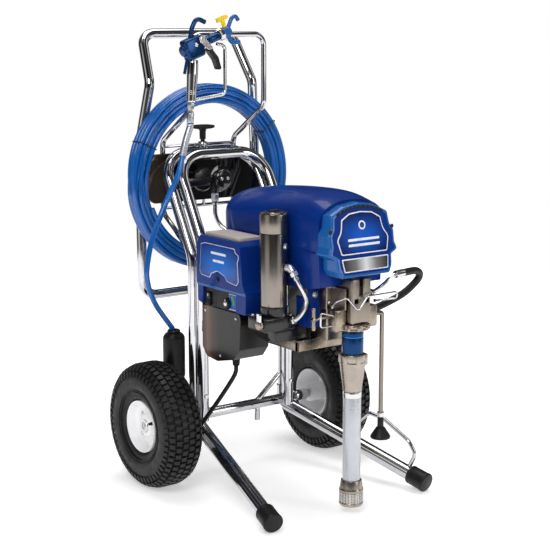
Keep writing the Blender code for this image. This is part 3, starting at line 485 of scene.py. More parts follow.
def tube(name, low, high, bore, radius, start, axis, look, node, steps=56, soft=0.0005):
    """A plain ring, or a plain cylinder where the bore is 0."""
    profile = [(low, bore), (low, radius), (high, radius), (high, bore)]
    return turned(name, profile, start, axis, look, node, steps, soft)


def block(name, low, high, look, node, bevel=0.0015, segments=3, turn=None):
    """A box between two corners, with softened edges. turn is a matrix that then moves it."""
    low, high = Vector(low), Vector(high)
    form = bmesh.new()
    shape = Matrix.Translation((low + high) / 2) @ Matrix.Diagonal((*(high - low), 1))
    bmesh.ops.create_cube(form, size=1, matrix=shape)
    chamfer(form, bevel, segments)
    if turn is not None:
        bmesh.ops.transform(form, matrix=turn, verts=form.verts)
    return add(name, mesh_from(form, name), look, node)


def skin(name, sections, look, node, bevel=0.0, segments=2):
    """A closed skin over rings of equally many points, with flat ends."""
    form = bmesh.new()
    rings = [[form.verts.new(p) for p in section] for section in sections]
    for a, b in zip(rings, rings[1:]):
        for i in range(len(a)):
            j = (i + 1) % len(a)
            form.faces.new((a[i], a[j], b[j], b[i]))
    form.faces.new(reversed(rings[0]))
    form.faces.new(rings[-1])
    if bevel:
        chamfer(form, bevel, segments)
    return add(name, mesh_from(form, name), look, node)


def smooth_outline(outline, radius, steps=4):
    """A closed outline of (a, b) pairs with its corners rounded."""
    return [(p.x, p.y) for p in rounded([Vector((a, b, 0)) for a, b in outline], radius, steps, True)]


def between(outline, low, high):
    """A (y, z) outline repeated at two heights x, as the sections of a skin."""
    return [[(x, y, z) for y, z in outline] for x in (low, high)]


def slab(name, outline, start, across, up, thickness, look, node, bevel=0.0008, segments=2):
    """A flat sheet from an outline in (across, up), its middle on start."""
    across, up = Vector(across).normalized(), Vector(up).normalized()
    half = across.cross(up) * thickness / 2
    rings = [[Vector(start) + across * a + up * b + side for a, b in outline] for side in (-half, half)]
    return skin(name, rings, look, node, bevel, segments)


def rod(name, start, end, radius, look, node, steps=28, soft=0.0006):
    """A round bar from start to end."""
    start, end = Vector(start), Vector(end)
    return tube(name, 0, (end - start).length, 0, radius, start, end - start, look, node, steps, soft)


def bolt(name, at, axis, radius, look, node, height=0.004):
    """A hexagon head on a washer."""
    at, axis = Vector(at), Vector(axis).normalized()
    tube(f"{name}_washer", 0, 0.001, 0, radius * 1.35, at, axis, look, node, 28, 0.0002)
    tube(f"{name}_head", 0.0008, height, 0, radius, at, axis, look, node, 6, 0.0004)


def flipped(points):
    """The points on the sprayer's other side."""
    return [Vector((-p[0], p[1], p[2])) for p in points]


def around(count, start=0.0):
    """Numbers and angles evenly round a circle."""
    return [(k, 2 * pi * k / count + start) for k in range(count)]


def spun(at, angle):
    """The matrix that turns a piece about the vertical and then carries it to its place."""
    return Matrix.Translation(at) @ Matrix.Rotation(angle, 4, "Z")


def rectangle(a0, a1, b0, b1, radius, steps):
    """The outline of a rectangle with rounded corners."""
    return smooth_outline([(a0, b0), (a1, b0), (a1, b1), (a0, b1)], radius, steps)


def crossing(part, hold, move):
    """How far a turn of a coil has moved over to the next one: not at all until hold, then smoothly."""
    e = max(0.0, (part - hold) / move)
    return e * e * (3 - 2 * e)


# ---------------------------------------------------------------- cords
def in_gun(a, b, c):
    """A point of the gun: a along the barrel, b across and c up."""
    return GUN + Vector((a * cos(PITCH) - c * sin(PITCH), b, a * sin(PITCH) + c * cos(PITCH)))


def gun_dir(a, b, c):
    """A direction of the gun."""
    return in_gun(a, b, c) - GUN


GRIP_END = in_gun(-0.0454, 0, -0.1057)


def make_whip():
    """The hose that hangs from the gun to its guide, with the spring that keeps it from kinking."""
    along = (GRIP_END - in_gun(-0.009, 0, -0.0233)).normalized()
    tail = GRIP_END + along * 0.0456
    hose = [tail, tail + along * 0.008, (-0.136, 0.018, 0.7386), (-0.16, 0.006, 0.68),
        (-0.206, -0.01, 0.6162), (-0.2396, -0.01, 0.5434), (-0.2531, -0.01, 0.4848), (-0.25, -0.008, 0.448),
        (-0.229, 0.002, 0.406), (-0.196, 0.019, 0.368), (-0.164, 0.034, 0.3345)]
    route = smooth_route(hose, 0.01)
    whip = pipe("whip_hose_run", route, WHIP_R, "blue_hose", "whip_hose", sides=24)
    sleeve = smooth_route(hose, 0.0011)[:70]
    radii = [0.0071 + (0.0007 if k % 4 < 2 else 0.0) for k in range(len(sleeve))]
    guard = pipe("bend_guard_spring", sleeve, radii, "sleeve", "whip_hose", sides=20)


def lead_paths():
    """Where the mains lead runs from its gland to the floor, and the flat coil it then lies in."""
    lead = [(-0.105, -0.125, 0.2728), (-0.105, -0.125, 0.264), (-0.11, -0.12, 0.246), (-0.13, -0.09, 0.19),
        (-0.158, -0.04, 0.11), (-0.158, 0.02, 0.045), (-0.145, 0.06, 0.013), (-0.115, 0.08, 0.0052),
        (-0.103, 0.096, 0.0052)]
    run = smooth_route(lead, 0.01)
    centre, middle_r, step = Vector((-0.095, 0.159, 0)), 0.049, 0.00975
    turns = [(middle_r + inwards * (1 if level % 2 else -1), level) for level in range(3)
        for inwards in (0.0052, -0.0052)]
    begin = atan2(run[-1].y - centre.y, run[-1].x - centre.x)
    coil = []
    for k, (r, level) in enumerate(turns):
        nr, nl = turns[min(k + 1, len(turns) - 1)]
        for i in range(48):
            t = i / 48
            e = crossing(t, 0.8, 0.2)
            a = begin + 2 * pi * t
            radius, z = r + (nr - r) * e, 0.0051 + (level + (nl - level) * e) * step
            coil.append(centre + Vector((radius * cos(a), radius * sin(a), z)))
    return run, coil


make_whip()


# ---------------------------------------------------------------- cart
def loop_path(x, y, low, bend_z, top_z):
    """A tube that rises on both sides, leans back at bend_z and closes over the top."""
    top_y = y + (top_z - bend_z) * tan(LEAN)
    half = [Vector((x, y, low)), Vector((x, y, bend_z)), Vector((x * 0.985, top_y, top_z))]
    return rounded(half + flipped(reversed(half)), 0.066, 18)


def make_cart():
    down = (FOOT - BEND).normalized()
    for side, name in SIDES:
        leg = rounded([FOOT - down * 0.008, BEND, (BEND.x, BEND.y, 0.168)], 0.05, 16)
        pipe(f"leg_tube_{name}", flipped(leg) if side < 0 else leg, LEG_R, "chrome", f"leg_{name}", sides=40)
        at, axis = (side * FOOT.x, FOOT.y, FOOT.z), (side * down.x, down.y, down.z)
        bore = LEG_R + 0.0003
        cup = [(0, 0), (0, 0.0192), (-0.0025, 0.0212), (-0.008, 0.0214), (-0.011, 0.0206), (-0.036, 0.0204),
            (-0.038, 0.0195), (-0.04, 0.0206), (-0.045, 0.02), (-0.045, bore), (-0.0077, bore), (-0.0077, 0)]
        turned(f"foot_rubber_{name}", cup, at, axis, "rubber", f"foot_cap_{name}", steps=64, soft=0.0009)
        turned(f"foot_sole_{name}", [(-0.001, 0), (-0.001, 0.0135), (0.0004, 0.0125), (0.0004, 0)], at, axis,
            "rubber", f"foot_cap_{name}")

    pipe("front_loop_tube", loop_path(0.117, -0.0145, 0.1265, 0.53, 0.7065), LOOP_R, "chrome", "front_loop",
        sides=40)
    pipe("rear_loop_tube", loop_path(0.123, 0.011, 0.1683, 0.49, 0.707), LOOP_R, "chrome", "rear_loop",
        sides=40)
    turned("lock_collar", [(0, 0.0052), (0, 0.0112), (0.013, 0.0112), (0.018, 0.0096), (0.018, 0.0052)], LOCK,
        UP, "chrome", "rear_loop")
    tube("lock_collar_nut", 0.01, 0.015, 0.0055, 0.0111, LOCK, UP, "chrome", "rear_loop", 6)
    for side, name in SIDES:
        for k, z in enumerate((0.185, 0.3)):
            rod(f"loop_screw_{name}_{k}", (side * 0.117, -0.0272, z), (side * 0.117, -0.03, z), 0.0048,
                "bright_steel", "front_loop", 20)

    rod("brace_tube", (-0.1078, 0, TYRE_R), (0.1078, 0, TYRE_R), 0.0118, "chrome", "cross_brace", steps=40)
    rod("brace_slant", (0.04, 0, 0.144), (0.1025, -0.001, 0.1975), 0.006, "chrome", "cross_brace", 24)
    rod("brace_stub_rod", (0.0405, 0, 0.098), (0.0405, 0, 0.136), 0.006, "chrome", "cross_brace", 24, 0.002)
    rod("axle_bar", (-0.256, 0, TYRE_R), (0.256, 0, TYRE_R), 0.008, "bright_steel", "axle", steps=32)
    for side, name in SIDES:
        tube(f"axle_spacer_{name}", 0, 0.03, 0.0081, 0.0125, (side * 0.148, 0, TYRE_R), (side, 0, 0),
            "bright_steel", "axle")
        tube(f"axle_washer_{name}", 0, 0.0018, 0.0081, 0.016, (side * 0.2488, 0, TYRE_R), (side, 0, 0),
            "bright_steel", "axle")
        rod(f"axle_pin_{name}", (side * 0.2528, 0, TYRE_R - 0.012), (side * 0.2528, 0, TYRE_R + 0.012),
            0.0014, "bright_steel", "axle", 12)

    block("beam_top", (-0.078, -0.306, 0.353), (0.095, -0.028, 0.357), "nickel", "chassis_beam", bevel=0.0012)
    walls = (((-0.078, -0.306), (-0.074, -0.058), 0.356), ((0.091, -0.306), (0.095, -0.058), 0.356),
             ((-0.078, -0.306), (0.095, -0.296), 0.356), ((-0.078, -0.058), (0.095, -0.028), 0.356),
             ((-0.128, -0.052), (0.128, -0.028), 0.357))
    for k, (low, high, top) in enumerate(walls):
        block(f"beam_wall_{k}", (*low, 0.334), (*high, top), "nickel", "chassis_beam", 0.0012)
    for k, x in enumerate((-0.112, 0.112)):
        bolt(f"beam_bolt_{k}", (x, -0.0522, 0.3455), FRONT, 0.0062, "bright_steel", "chassis_beam")

    half = [(0.1225, 0.212, 0.971), (0.139, 0.1535, 0.862), (0.158, 0.1725, 0.72), (0.158, 0.166, 0.385)]
    half = [Vector(p) for p in half]
    pipe("handle_tube", rounded(half + flipped(reversed(half)), 0.036, 14, True), 0.011, "chrome",
        "handle_frame", sides=36, closed=True)
    guard = ((0.161, -0.19, 0.0925), (0.165, -0.207, 0.118), (0.172, -0.24, 0.148), (0.18, -0.278, 0.143),
        (0.195, -0.345, 0.105), (0.199, -0.364, 0.079), (0.1955, -0.35, 0.051))
    pipe("rod_guard_wire", rounded(guard, 0.018, 10), 0.0045, "chrome", "rod_guard")


def along_profile(profile, at):
    """The point and the outward normal this far along an open (across, radius) profile."""
    for (a, r), (b, q) in zip(profile, profile[1:]):
        run = Vector((b - a, q - r))
        if at <= run.length or (b, q) == profile[-1]:
            t = min(1.0, at / run.length)
            return Vector((a, r)) + run * t, Vector((-run.y, run.x)).normalized()
        at -= run.length


def tread(crown, middle, side):
    """Rows of tyre blocks that stand on the crown, every second row moved on by half a block."""
    rows, count, depth, gap = 8, 54, 0.0052, 0.0011
    row_width = sum(Vector((b - a, q - p)).length for (a, p), (b, q) in zip(crown, crown[1:])) / rows
    form = bmesh.new()
    for row in range(rows):
        wide = 0.62 if row in (0, rows - 1) else 0.7
        s0, s1 = row_width * row + gap, row_width * (row + 1) - gap
        for k in range(count):
            at = k + 0.5 * (row % 2)
            a0, a1 = 2 * pi * (at - wide / 2) / count, 2 * pi * (at + wide / 2) / count
            s_mid, a_mid = (s0 + s1) / 2, (a0 + a1) / 2
            ring = []
            for lift, draw in ((0.0, 0.0), (0.82, 0.07), (1.0, 0.16)):
                for s, a in ((s0, a0), (s1, a0), (s1, a1), (s0, a1)):
                    point, normal = along_profile(crown, s_mid + (s - s_mid) * (1 - draw))
                    point = point - normal * depth * (1.12 - 1.12 * lift) * (-1 if normal.y < 0 else 1)
                    angle = a_mid + (a - a_mid) * (1 - draw)
                    across = Vector((point.x * side, point.y * cos(angle), point.y * sin(angle)))
                    ring.append(form.verts.new(middle + across))
            for base in (0, 4):
                for i in range(4):
                    j = (i + 1) % 4
                    form.faces.new((ring[base + i], ring[base + j], ring[base + 4 + j], ring[base + 4 + i]))
            form.faces.new(ring[8:])
            form.faces.new(reversed(ring[:4]))
    return form


def make_wheels():
    w, r, bore = TYRE_W / 2, TYRE_R, 0.0084
    crown = mirrored([(-w * 0.985, 0.108), (-w * 0.93, 0.119), (-w * 0.76, r - 0.0065),
        (-w * 0.38, r - 0.0006)])
    casing = [(w * 0.42, RIM_R + 0.0008), (w * 0.7, RIM_R + 0.002), (w * 0.82, RIM_R + 0.008),
        (w * 0.8, RIM_R + 0.013), (w * 0.93, 0.084), (w * 0.955, 0.093), (w * 0.93, 0.105), (w * 0.86, 0.116),
        (w * 0.68, r - 0.0125), (w * 0.36, r - 0.006), (0, r - 0.0053)]
    dish = [(w * 0.55, bore), (w * 0.55, 0.019), (w * 0.5, 0.0235), (w * 0.4, 0.026), (w * 0.36, 0.04),
        (w * 0.46, 0.0485), (w * 0.78, 0.0535), (w * 0.8, RIM_R), (w * 0.7, RIM_R + 0.0006),
        (w * 0.38, RIM_R), (-w * 0.38, RIM_R), (-w * 0.78, RIM_R), (-w * 0.78, 0.0535), (-w * 0.3, 0.046),
        (w * 0.26, 0.04), (w * 0.26, 0.021), (-w * 0.95, 0.019), (-w * 0.95, bore)]
    for side, name in SIDES:
        out = Vector((side, 0, 0))
        middle = Vector((side * TRACK / 2, 0, r))
        tyre, rim = f"tyre_{name}", f"rim_{name}"
        turned(f"tyre_casing_{name}", mirrored(casing), middle, out, "tyre", tyre, steps=108, soft=0.0022)
        for ring, (a, b) in enumerate(((w * 0.925, 0.08), (w * 0.905, 0.0752))):
            line = [(a - 0.002, b - 0.0012), (a + 0.0009, b - 0.0008), (a + 0.0009, b + 0.0008),
                (a - 0.002, b + 0.0012)]
            turned(f"tyre_line_{name}_{ring}", line, middle, out, "tyre", tyre, 108, 0.0002)
        add(f"tyre_tread_{name}", mesh_from(tread(crown, middle, side), f"tyre_tread_{name}"), "tyre", tyre,
            25)
        turned(f"rim_dish_{name}", dish, middle, out, "white", rim, steps=88, soft=0.0012)
        cap = [(w * 0.545, bore), (w * 0.545, 0.015), (w * 0.6, 0.014), (w * 0.6, bore)]
        turned(f"hub_cap_{name}", cap, middle, out, "bright_steel", rim)
        valve = middle + Vector((side * w * 0.38, -0.033, 0.013))
        rod(f"valve_stem_{name}", valve, valve + Vector((side * 0.015, -0.003, 0.001)), 0.0036, "rubber", rim,
            20)
        rod(f"valve_cap_{name}", valve + Vector((side * 0.014, -0.0028, 0.001)),
            valve + Vector((side * 0.02, -0.004, 0.0014)), 0.003, "plastic", rim, 12)
        for k, a in around(4, pi / 4):
            at = middle + Vector((side * w * 0.37, 0.0305 * cos(a), 0.0305 * sin(a)))
            bolt(f"rim_bolt_{name}_{k}", at, out, 0.0042, "bright_steel", rim, height=0.0034)


# ---------------------------------------------------------------- hose reel
def wound_path():
    """Twelve turns, three abreast, in four layers that nest in the grooves between the turns below."""
    inner, layer_step, abreast = 0.1665 + 0.0061, 0.0108, 3
    turns = []
    for layer in range(4):
        shift = 0.003 * (1 if layer % 2 else -1)
        for column in (range(abreast) if layer % 2 == 0 else reversed(range(abreast))):
            turns.append((inner + layer * layer_step, 0.1275 + (column - 1) * 0.0121 + shift * 0.45))
    path = []
    shuffle = random.Random(7)
    for k, (radius, y) in enumerate(turns):
        nr, ny = turns[min(k + 1, len(turns) - 1)]
        drift = shuffle.uniform(-0.0004, 0.0004)
        for i in range(120):
            t = i / 120
            e = crossing(t, 0.86, 0.14)
            a = radians(200) + 2 * pi * t
            rr, yy = radius + (nr - radius) * e + drift * sin(pi * t), y + (ny - y) * e
            path.append(Vector((rr * cos(a), yy, HUB_Z + rr * sin(a))))
    return path


def make_reel():
    half_long, half_high = 0.158, 0.055
    ends = []
    for k in range(33):
        a = radians(-90 + 5.625 * k)
        ends.append((half_long - half_high * (1 - cos(a)) * 0.55, half_high * sin(a)))
    ends = mirrored(ends)
    # The gold at the drum's left end is a painted highlight.
    slab("drum_plate", ends, (0, 0.1565, HUB_Z), RIGHT, UP, 0.008, "drum", "reel_drum", bevel=0.003,
        segments=4)
    x = 0.097
    half = [Vector(p) for p in ((x, 0.05, 0.97), (x, 0.05, 0.812), (x, 0.171, 0.732))]
    side = half + [Vector((p.x, p.y, 2 * HUB_Z - p.z)) for p in reversed(half)]
    pipe("reel_hoop", rounded(side + flipped(reversed(side)), 0.026, 12, True), 0.006, "chrome", "reel_rods",
        sides=28, closed=True)
    for k in (-1, 1):
        rod(f"reel_spoke_{k + 1}", (-x, 0.171, HUB_Z + k * 0.07), (x, 0.171, HUB_Z + k * 0.07), 0.004,
            "chrome", "reel_rods")
        rod(f"reel_tie_{k + 1}", (k * 0.012, 0.171, HUB_Z - 0.072), (k * 0.012, 0.171, HUB_Z + 0.072), 0.004,
            "chrome", "reel_rods")
    tube("reel_hub_boss", 0, 0.0198, 0.0084, 0.019, (0, 0.1612, HUB_Z), BACK, "chrome", "reel_rods")

    pipe("wound_hose", wound_path(), WOUND_R, "blue_hose", "hose_coil", sides=18)
    for k, a in enumerate((35, 155, 270)):
        a = radians(a)
        centre = Vector((0.1888 * cos(a), 0.1275, HUB_Z + 0.1888 * sin(a)))
        out, across = Vector((cos(a), 0, sin(a))), Vector((0, 1, 0))
        loop = [centre + out * u + across * v for u, v in ((-0.0232, -0.0202), (0.0224, -0.0202),
            (0.0224, 0.0202), (-0.0232, 0.0202))]
        pipe(f"hose_tie_{k}", rounded(loop, 0.006, 5, True), 0.0011, "plastic", "hose_coil", 8, True)

    px, py = -0.02, 0.076
    y = 0.066
    turned("swivel_knob", [(0, 0), (0, 0.018), (0.0035, 0.0216), (0.014, 0.022), (0.0152, 0.0205),
        (0.0152, 0.03), (0.019, 0.03), (0.019, 0.008), (0.119, 0.008), (0.119, 0)], (0, y, HUB_Z), BACK,
        "knob_gloss", "swivel_housing", steps=64, soft=0.0012)
    for k in (-1, 1):
        at = Vector((k * 0.0082, y - 0.0002, HUB_Z + 0.001))
        turned(f"swivel_screw_{k + 1}", [(0.001, 0), (0.001, 0.0042), (-0.0012, 0.004), (-0.002, 0.0026),
            (-0.001, 0.0018), (-0.0004, 0)], at, BACK, "bright_steel", "swivel_housing", 28)
    turned("swivel_disc", [(0, 0), (0, 0.023), (0.004, 0.0265), (0.013, 0.0265), (0.013, 0)],
        (-0.042, 0.0845, HUB_Z), BACK, "black_paint", "swivel_housing", 48)
    block("hub_strap_bar", (-0.128, 0.077, HUB_Z - 0.013), (0.0, 0.0815, HUB_Z + 0.006), "black_paint",
        "swivel_housing")
    block("back_strap_bar", (-0.166, 0.1838, HUB_Z - 0.012), (0.166, 0.188, HUB_Z + 0.012), "black_paint",
        "swivel_housing")
    for k, at in enumerate((-0.156, -0.01, 0.156)):
        bolt(f"strap_bolt_{k}", (at, 0.1878, HUB_Z), BACK, 0.0052, "bright_steel", "swivel_housing")
    rod("swivel_port_boss", (px, py, HUB_Z - 0.03), (px, py, HUB_Z - 0.005), 0.008, "black_paint",
        "swivel_housing")
    route = rounded([(px, py, 0.608), (px, py, 0.555), (0.02, 0.02, 0.505), (0.02, -0.018, 0.496)], 0.045, 14)
    pipe("swivel_pipe_run", route, 0.0048, "bright_steel", "swivel_tube", sides=24)
    tube("swivel_nut", 0, 0.0177, 0.0048, 0.0092, (px, py, 0.601), UP, "sleeve", "swivel_tube", 6)
    rod("swivel_ferrule", (px, py, 0.593), (px, py, 0.6015), 0.0068, "bright_steel", "swivel_tube")

    turned("lock_stem", [(0, 0), (0, 0.0048), (0.023, 0.0048), (0.0235, 0.007), (0.042, 0.0074),
        (0.048, 0.01), (0.05, 0.01), (0.05, 0)], LOCK, UP, "plastic", "lock_handle", steps=32)
    grip = [(-0.0272, 0.761), (-0.018, 0.7588), (0.0, 0.758), (0.018, 0.7588), (0.0272, 0.761),
        (0.0276, 0.766), (0.02, 0.7676), (0.0, 0.7682), (-0.02, 0.7676), (-0.0276, 0.766)]
    slab("lock_grip", [(a, b - 0.712) for a, b in grip], LOCK, RIGHT, UP, 0.017, "plastic", "lock_handle",
        0.003, segments=4)

    block("hose_guide_boot", (-0.183, 0.014, 0.215), (-0.137, 0.056, 0.327), "rubber", "hose_guide",
        bevel=0.0165, segments=6)
    turned("hose_guide_lip", [(0, 0.0062), (0, 0.0125), (0.0035, 0.015), (0.007, 0.0125), (0.007, 0.0062)],
        (-0.1605, 0.0345, 0.3245), UP, "rubber", "hose_guide")


# ---------------------------------------------------------------- covers
COVER_RINGS = ((-0.03, 0.062, 0.52, 0.626, 0.59), (-0.06, 0.081, 0.498, 0.643, 0.595),
               (-0.13, 0.086, 0.48, 0.654, 0.6), (-0.24, 0.088, 0.472, 0.662, 0.604),
               (-0.325, 0.087, 0.47, 0.662, 0.605), (-0.378, 0.084, 0.478, 0.65, 0.603))
FACE_HALF = ((0.0, 0.646), (0.04, 0.64), (0.073, 0.624), (0.076, 0.6), (0.085, 0.586), (0.084, 0.562),
             (0.09, 0.547), (0.072, 0.538), (0.07, 0.515), (0.062, 0.501))


def face_y(z, out=0.0):
    """How far forward the front cover stands: its flat face leans out towards its lower edge."""
    return -0.4 - 0.028 * (0.646 - z) / 0.145 - out


def eased(rings, steps):
    """Rows of numbers between the given rows, on a smooth curve."""
    out = []
    for i in range(len(rings) - 1):
        a, b, c, d = rings[max(i - 1, 0)], rings[i], rings[i + 1], rings[min(i + 2, len(rings) - 1)]
        for k in range(steps):
            t = k / steps
            out.append([0.5 * (2 * q + (r - p) * t + (2 * p - 5 * q + 4 * r - s) * t * t
                + (3 * q - p - 3 * r + s) * t**3) for p, q, r, s in zip(a, b, c, d)])
    return out + [list(rings[-1])]


def cover_ring(y, half_width, low, high, shoulder):
    """One section of the motor cover: a squared arch over sides that draw in towards their foot."""
    foot, square = half_width * 0.94, 0.86
    points = []
    for k in range(33):
        a = pi * k / 32
        c, s = cos(a), sin(a)
        points.append((half_width * (abs(c) ** square) * (1 if c > 0 else -1), y,
            shoulder + (high - shoulder) * s**0.94))
    for k in range(1, 9):
        t = k / 8
        points.append((-half_width + (half_width - foot) * t**1.6, y, shoulder + (low - shoulder) * t))
    points += [(-p[0], p[1], p[2]) for p in reversed(points[33:])]
    return points


def on_face(outline, out, thickness, name, look, node="front_cover", bevel=0.0006):
    """A raised sheet that follows the front cover's leaning face."""
    rings = [[(x, face_y(z, lift), z) for x, z in outline] for lift in (out, out + thickness)]
    return skin(name, rings, look, node, bevel)


def mirrored(half):
    """A half outline made whole on the other side of its middle."""
    return list(half) + [(-a, b) for a, b in reversed(half) if abs(a) > 1e-6]


def scaled(outline, by, middle):
    return [(middle[0] + (a - middle[0]) * by, middle[1] + (b - middle[1]) * by) for a, b in outline]


def inset(outline, by):
    """The outline moved inwards by an even amount."""
    count, out = len(outline), []
    area = sum(outline[i][0] * outline[(i + 1) % count][1] - outline[(i + 1) % count][0] * outline[i][1]
        for i in range(count))
    turn = 1 if area > 0 else -1
    for i, (a, b) in enumerate(outline):
        u = Vector((a, b)) - Vector(outline[i - 1])
        v = Vector(outline[(i + 1) % count]) - Vector((a, b))
        side = Vector((-u.y, u.x)).normalized()
        normal = (side + Vector((-v.y, v.x)).normalized()).normalized()
        normal *= turn / max(0.5, normal.dot(side))
        out.append((a + normal.x * by, b + normal.y * by))
    return out


def make_covers():
    rings = eased(COVER_RINGS, 6)
    first = rings[0]
    sections = [cover_ring(first[0] - 0.0001, first[1] * 0.9, first[2] + 0.006, first[3] - 0.007, first[4]),
        cover_ring(first[0] - 0.0016, first[1] * 0.97, first[2] + 0.002, first[3] - 0.002, first[4])]
    sections += [cover_ring(*ring) for ring in [[first[0] - 0.005, *first[1:]], *rings[1:]]]
    skin("motor_cover_shell", sections, "blue_cover", "motor_cover", bevel=0.0015)
    for side in (-1, 1):
        line = [(side * 0.0885 - side * 0.002, -0.045 - 0.036 * k, 0.556 - 0.001 * k) for k in range(1, 10)]
        pipe(f"cover_crease_{side + 1}", smooth_route(line, 0.006), 0.0016, "blue_cover", "motor_cover", 12)
        # The side vents are dark blocks that paint the shade inside the slots.
        for k in range(5):
            y = -0.085 - 0.014 * k
            block(f"side_vent_{side + 1}_{k}", (side * 0.08, y - 0.0035, 0.5),
                (side * 0.0868, y + 0.0035, 0.536), "dark", "motor_cover", 0.003)
    bolt("cover_bolt", (-0.085, -0.245, 0.588), (-1, 0, 0.05), 0.005, "bright_steel", "motor_cover",
        height=0.003)

    outline = smooth_outline(mirrored(FACE_HALF), 0.005, 5)
    middle = (0, 0.572)
    back = -0.3783
    rim = [[(x, back, z) for x, z in outline], [(x, face_y(z) + 0.007, z) for x, z in outline]]
    for by, fall in ((0.992, 0.004), (0.978, 0.0018), (0.96, 0.0004), (0.935, 0.0)):
        shape = scaled(outline, by, middle)
        rim.append([(x, face_y(z) + fall, z) for x, z in shape])
    # The rim's lighter blue round the darker field is a painted highlight along its edge.
    skin("front_cover_shell", rim, "blue_rim", "front_cover")
    on_face(scaled(outline, 0.9, middle), -0.001, 0.0014, "front_field", "blue_cover", bevel=0.0005)

    badge = mirrored([(0.0, 0.629), (0.029, 0.6262), (0.05, 0.615), (0.0535, 0.596), (0.056, 0.59),
        (0.064, 0.579), (0.0655, 0.573), (0.0585, 0.5465)])
    on_face(smooth_outline(badge, 0.004, 5), 0.0, 0.0014, "front_badge_line", "silver", bevel=0.0003)
    on_face(smooth_outline(inset(badge, 0.0023), 0.003, 5), 0.0006, 0.0012, "front_badge", "badge",
        bevel=0.0002)
    # A plain raised ring stands where the real machine has its maker's sign.
    sign = [(0.0088 * sin(a), 0.602 + 0.0088 * cos(a)) for k, a in around(32)]
    on_face(sign, 0.0014, 0.0009, "front_sign", "silver", bevel=0.0003)
    on_face(inset(sign, 0.0032), 0.0018, 0.0008, "front_sign_middle", "badge", bevel=0.0002)
    for k, z in enumerate((0.5745, 0.564)):
        stripe = [(-0.04, z - 0.0024), (0.04, z - 0.0024), (0.042, z + 0.0024), (-0.038, z + 0.0024)]
        on_face(smooth_outline(stripe, 0.001, 2), 0.0014, 0.0007, f"front_stripe_{k}", "silver", bevel=0.0002)

    # The front vents are dark strips that paint the shade inside the openings.
    for k in range(11):
        x0, x1 = -0.06 + 0.011 * k, -0.0512 + 0.011 * k
        low, high = [[(x, 0.6412 - 3.9 * x * x - drop) for x in (x0, x1)] for drop in (0.0062, 0.0)]
        on_face([low[0], low[1], high[1], high[0]], 0.0004, 0.0006, f"front_vent_{k}", "dark", bevel=0.0)
    # The ear holes are dark discs that paint the shade inside them.
    for side in (-1, 1):
        at = Vector((side * 0.079, face_y(0.593, -0.0008), 0.593))
        turned(f"ear_hole_{side + 1}", [(0, 0), (0, 0.0042), (0.0012, 0.0046), (0.0012, 0)], at, FRONT,
            "dark", "front_cover", 28, 0.0003)

    corners = [(-0.06, 0.539), (-0.056, 0.513), (0.056, 0.513), (0.06, 0.539)]
    on_face(smooth_outline(corners, 0.0014, 3), 0.0003, 0.0015, "plate_frame", "silver", "name_plate", 0.0004)
    # The plate face's light middle between dark ends is a painted reflection.
    on_face(smooth_outline(inset(corners, 0.0022), 0.001, 3), 0.001, 0.0012, "plate_face", "plate",
        "name_plate", 0.0002)


# ---------------------------------------------------------------- drive and pump
def make_drive():
    boxes = (((-0.033, -0.344, 0.3573), (0.033, -0.286, 0.548), 0.004),
             ((-0.025, -0.413, 0.4013), (0.025, -0.34, 0.46), 0.006),
             ((-0.044, -0.356, 0.425), (0.044, -0.332, 0.492), 0.003))
    for k, (low, high, bevel) in enumerate(boxes):
        block(f"housing_block_{k}", low, high, "cast", "drive_housing", bevel, 4)
    # The nose stands as two cheeks with a slot between them, through which the rod can be seen.
    for side, name in SIDES:
        low, high = sorted((side * 0.0045, side * 0.025))
        block(f"nose_cheek_{name}", (low, -0.413, 0.44), (high, -0.36, 0.494), "cast", "drive_housing", 0.004,
            4)
        block(f"nose_web_{name}", (side * 0.03 - 0.002, -0.4, 0.43), (side * 0.03 + 0.002, -0.345, 0.475),
            "cast", "drive_housing", 0.0018, 3)
        for k in range(2):
            bolt(f"nose_bolt_{name}_{k}", (side * 0.037, -0.3562, 0.44 + 0.036 * k), FRONT, 0.0044,
                "bright_steel", "drive_housing")
    # A dark block at the slot's front paints the shade inside the slot.
    block("nose_slot", (-0.0046, -0.408, 0.442), (0.0046, -0.404, 0.478), "dark", "drive_housing", 0.001)
    block("housing_side_plate", (-0.072, -0.334, 0.388), (-0.042, -0.327, 0.475), "blue_cover",
        "drive_housing", 0.0025)
    block("housing_web", (-0.072, -0.334, 0.388), (-0.066, -0.29, 0.45), "blue_cover", "drive_housing",
        0.0025)
    bolt("side_plate_bolt", (-0.057, -0.3342, 0.456), FRONT, 0.005, "bright_steel", "drive_housing")


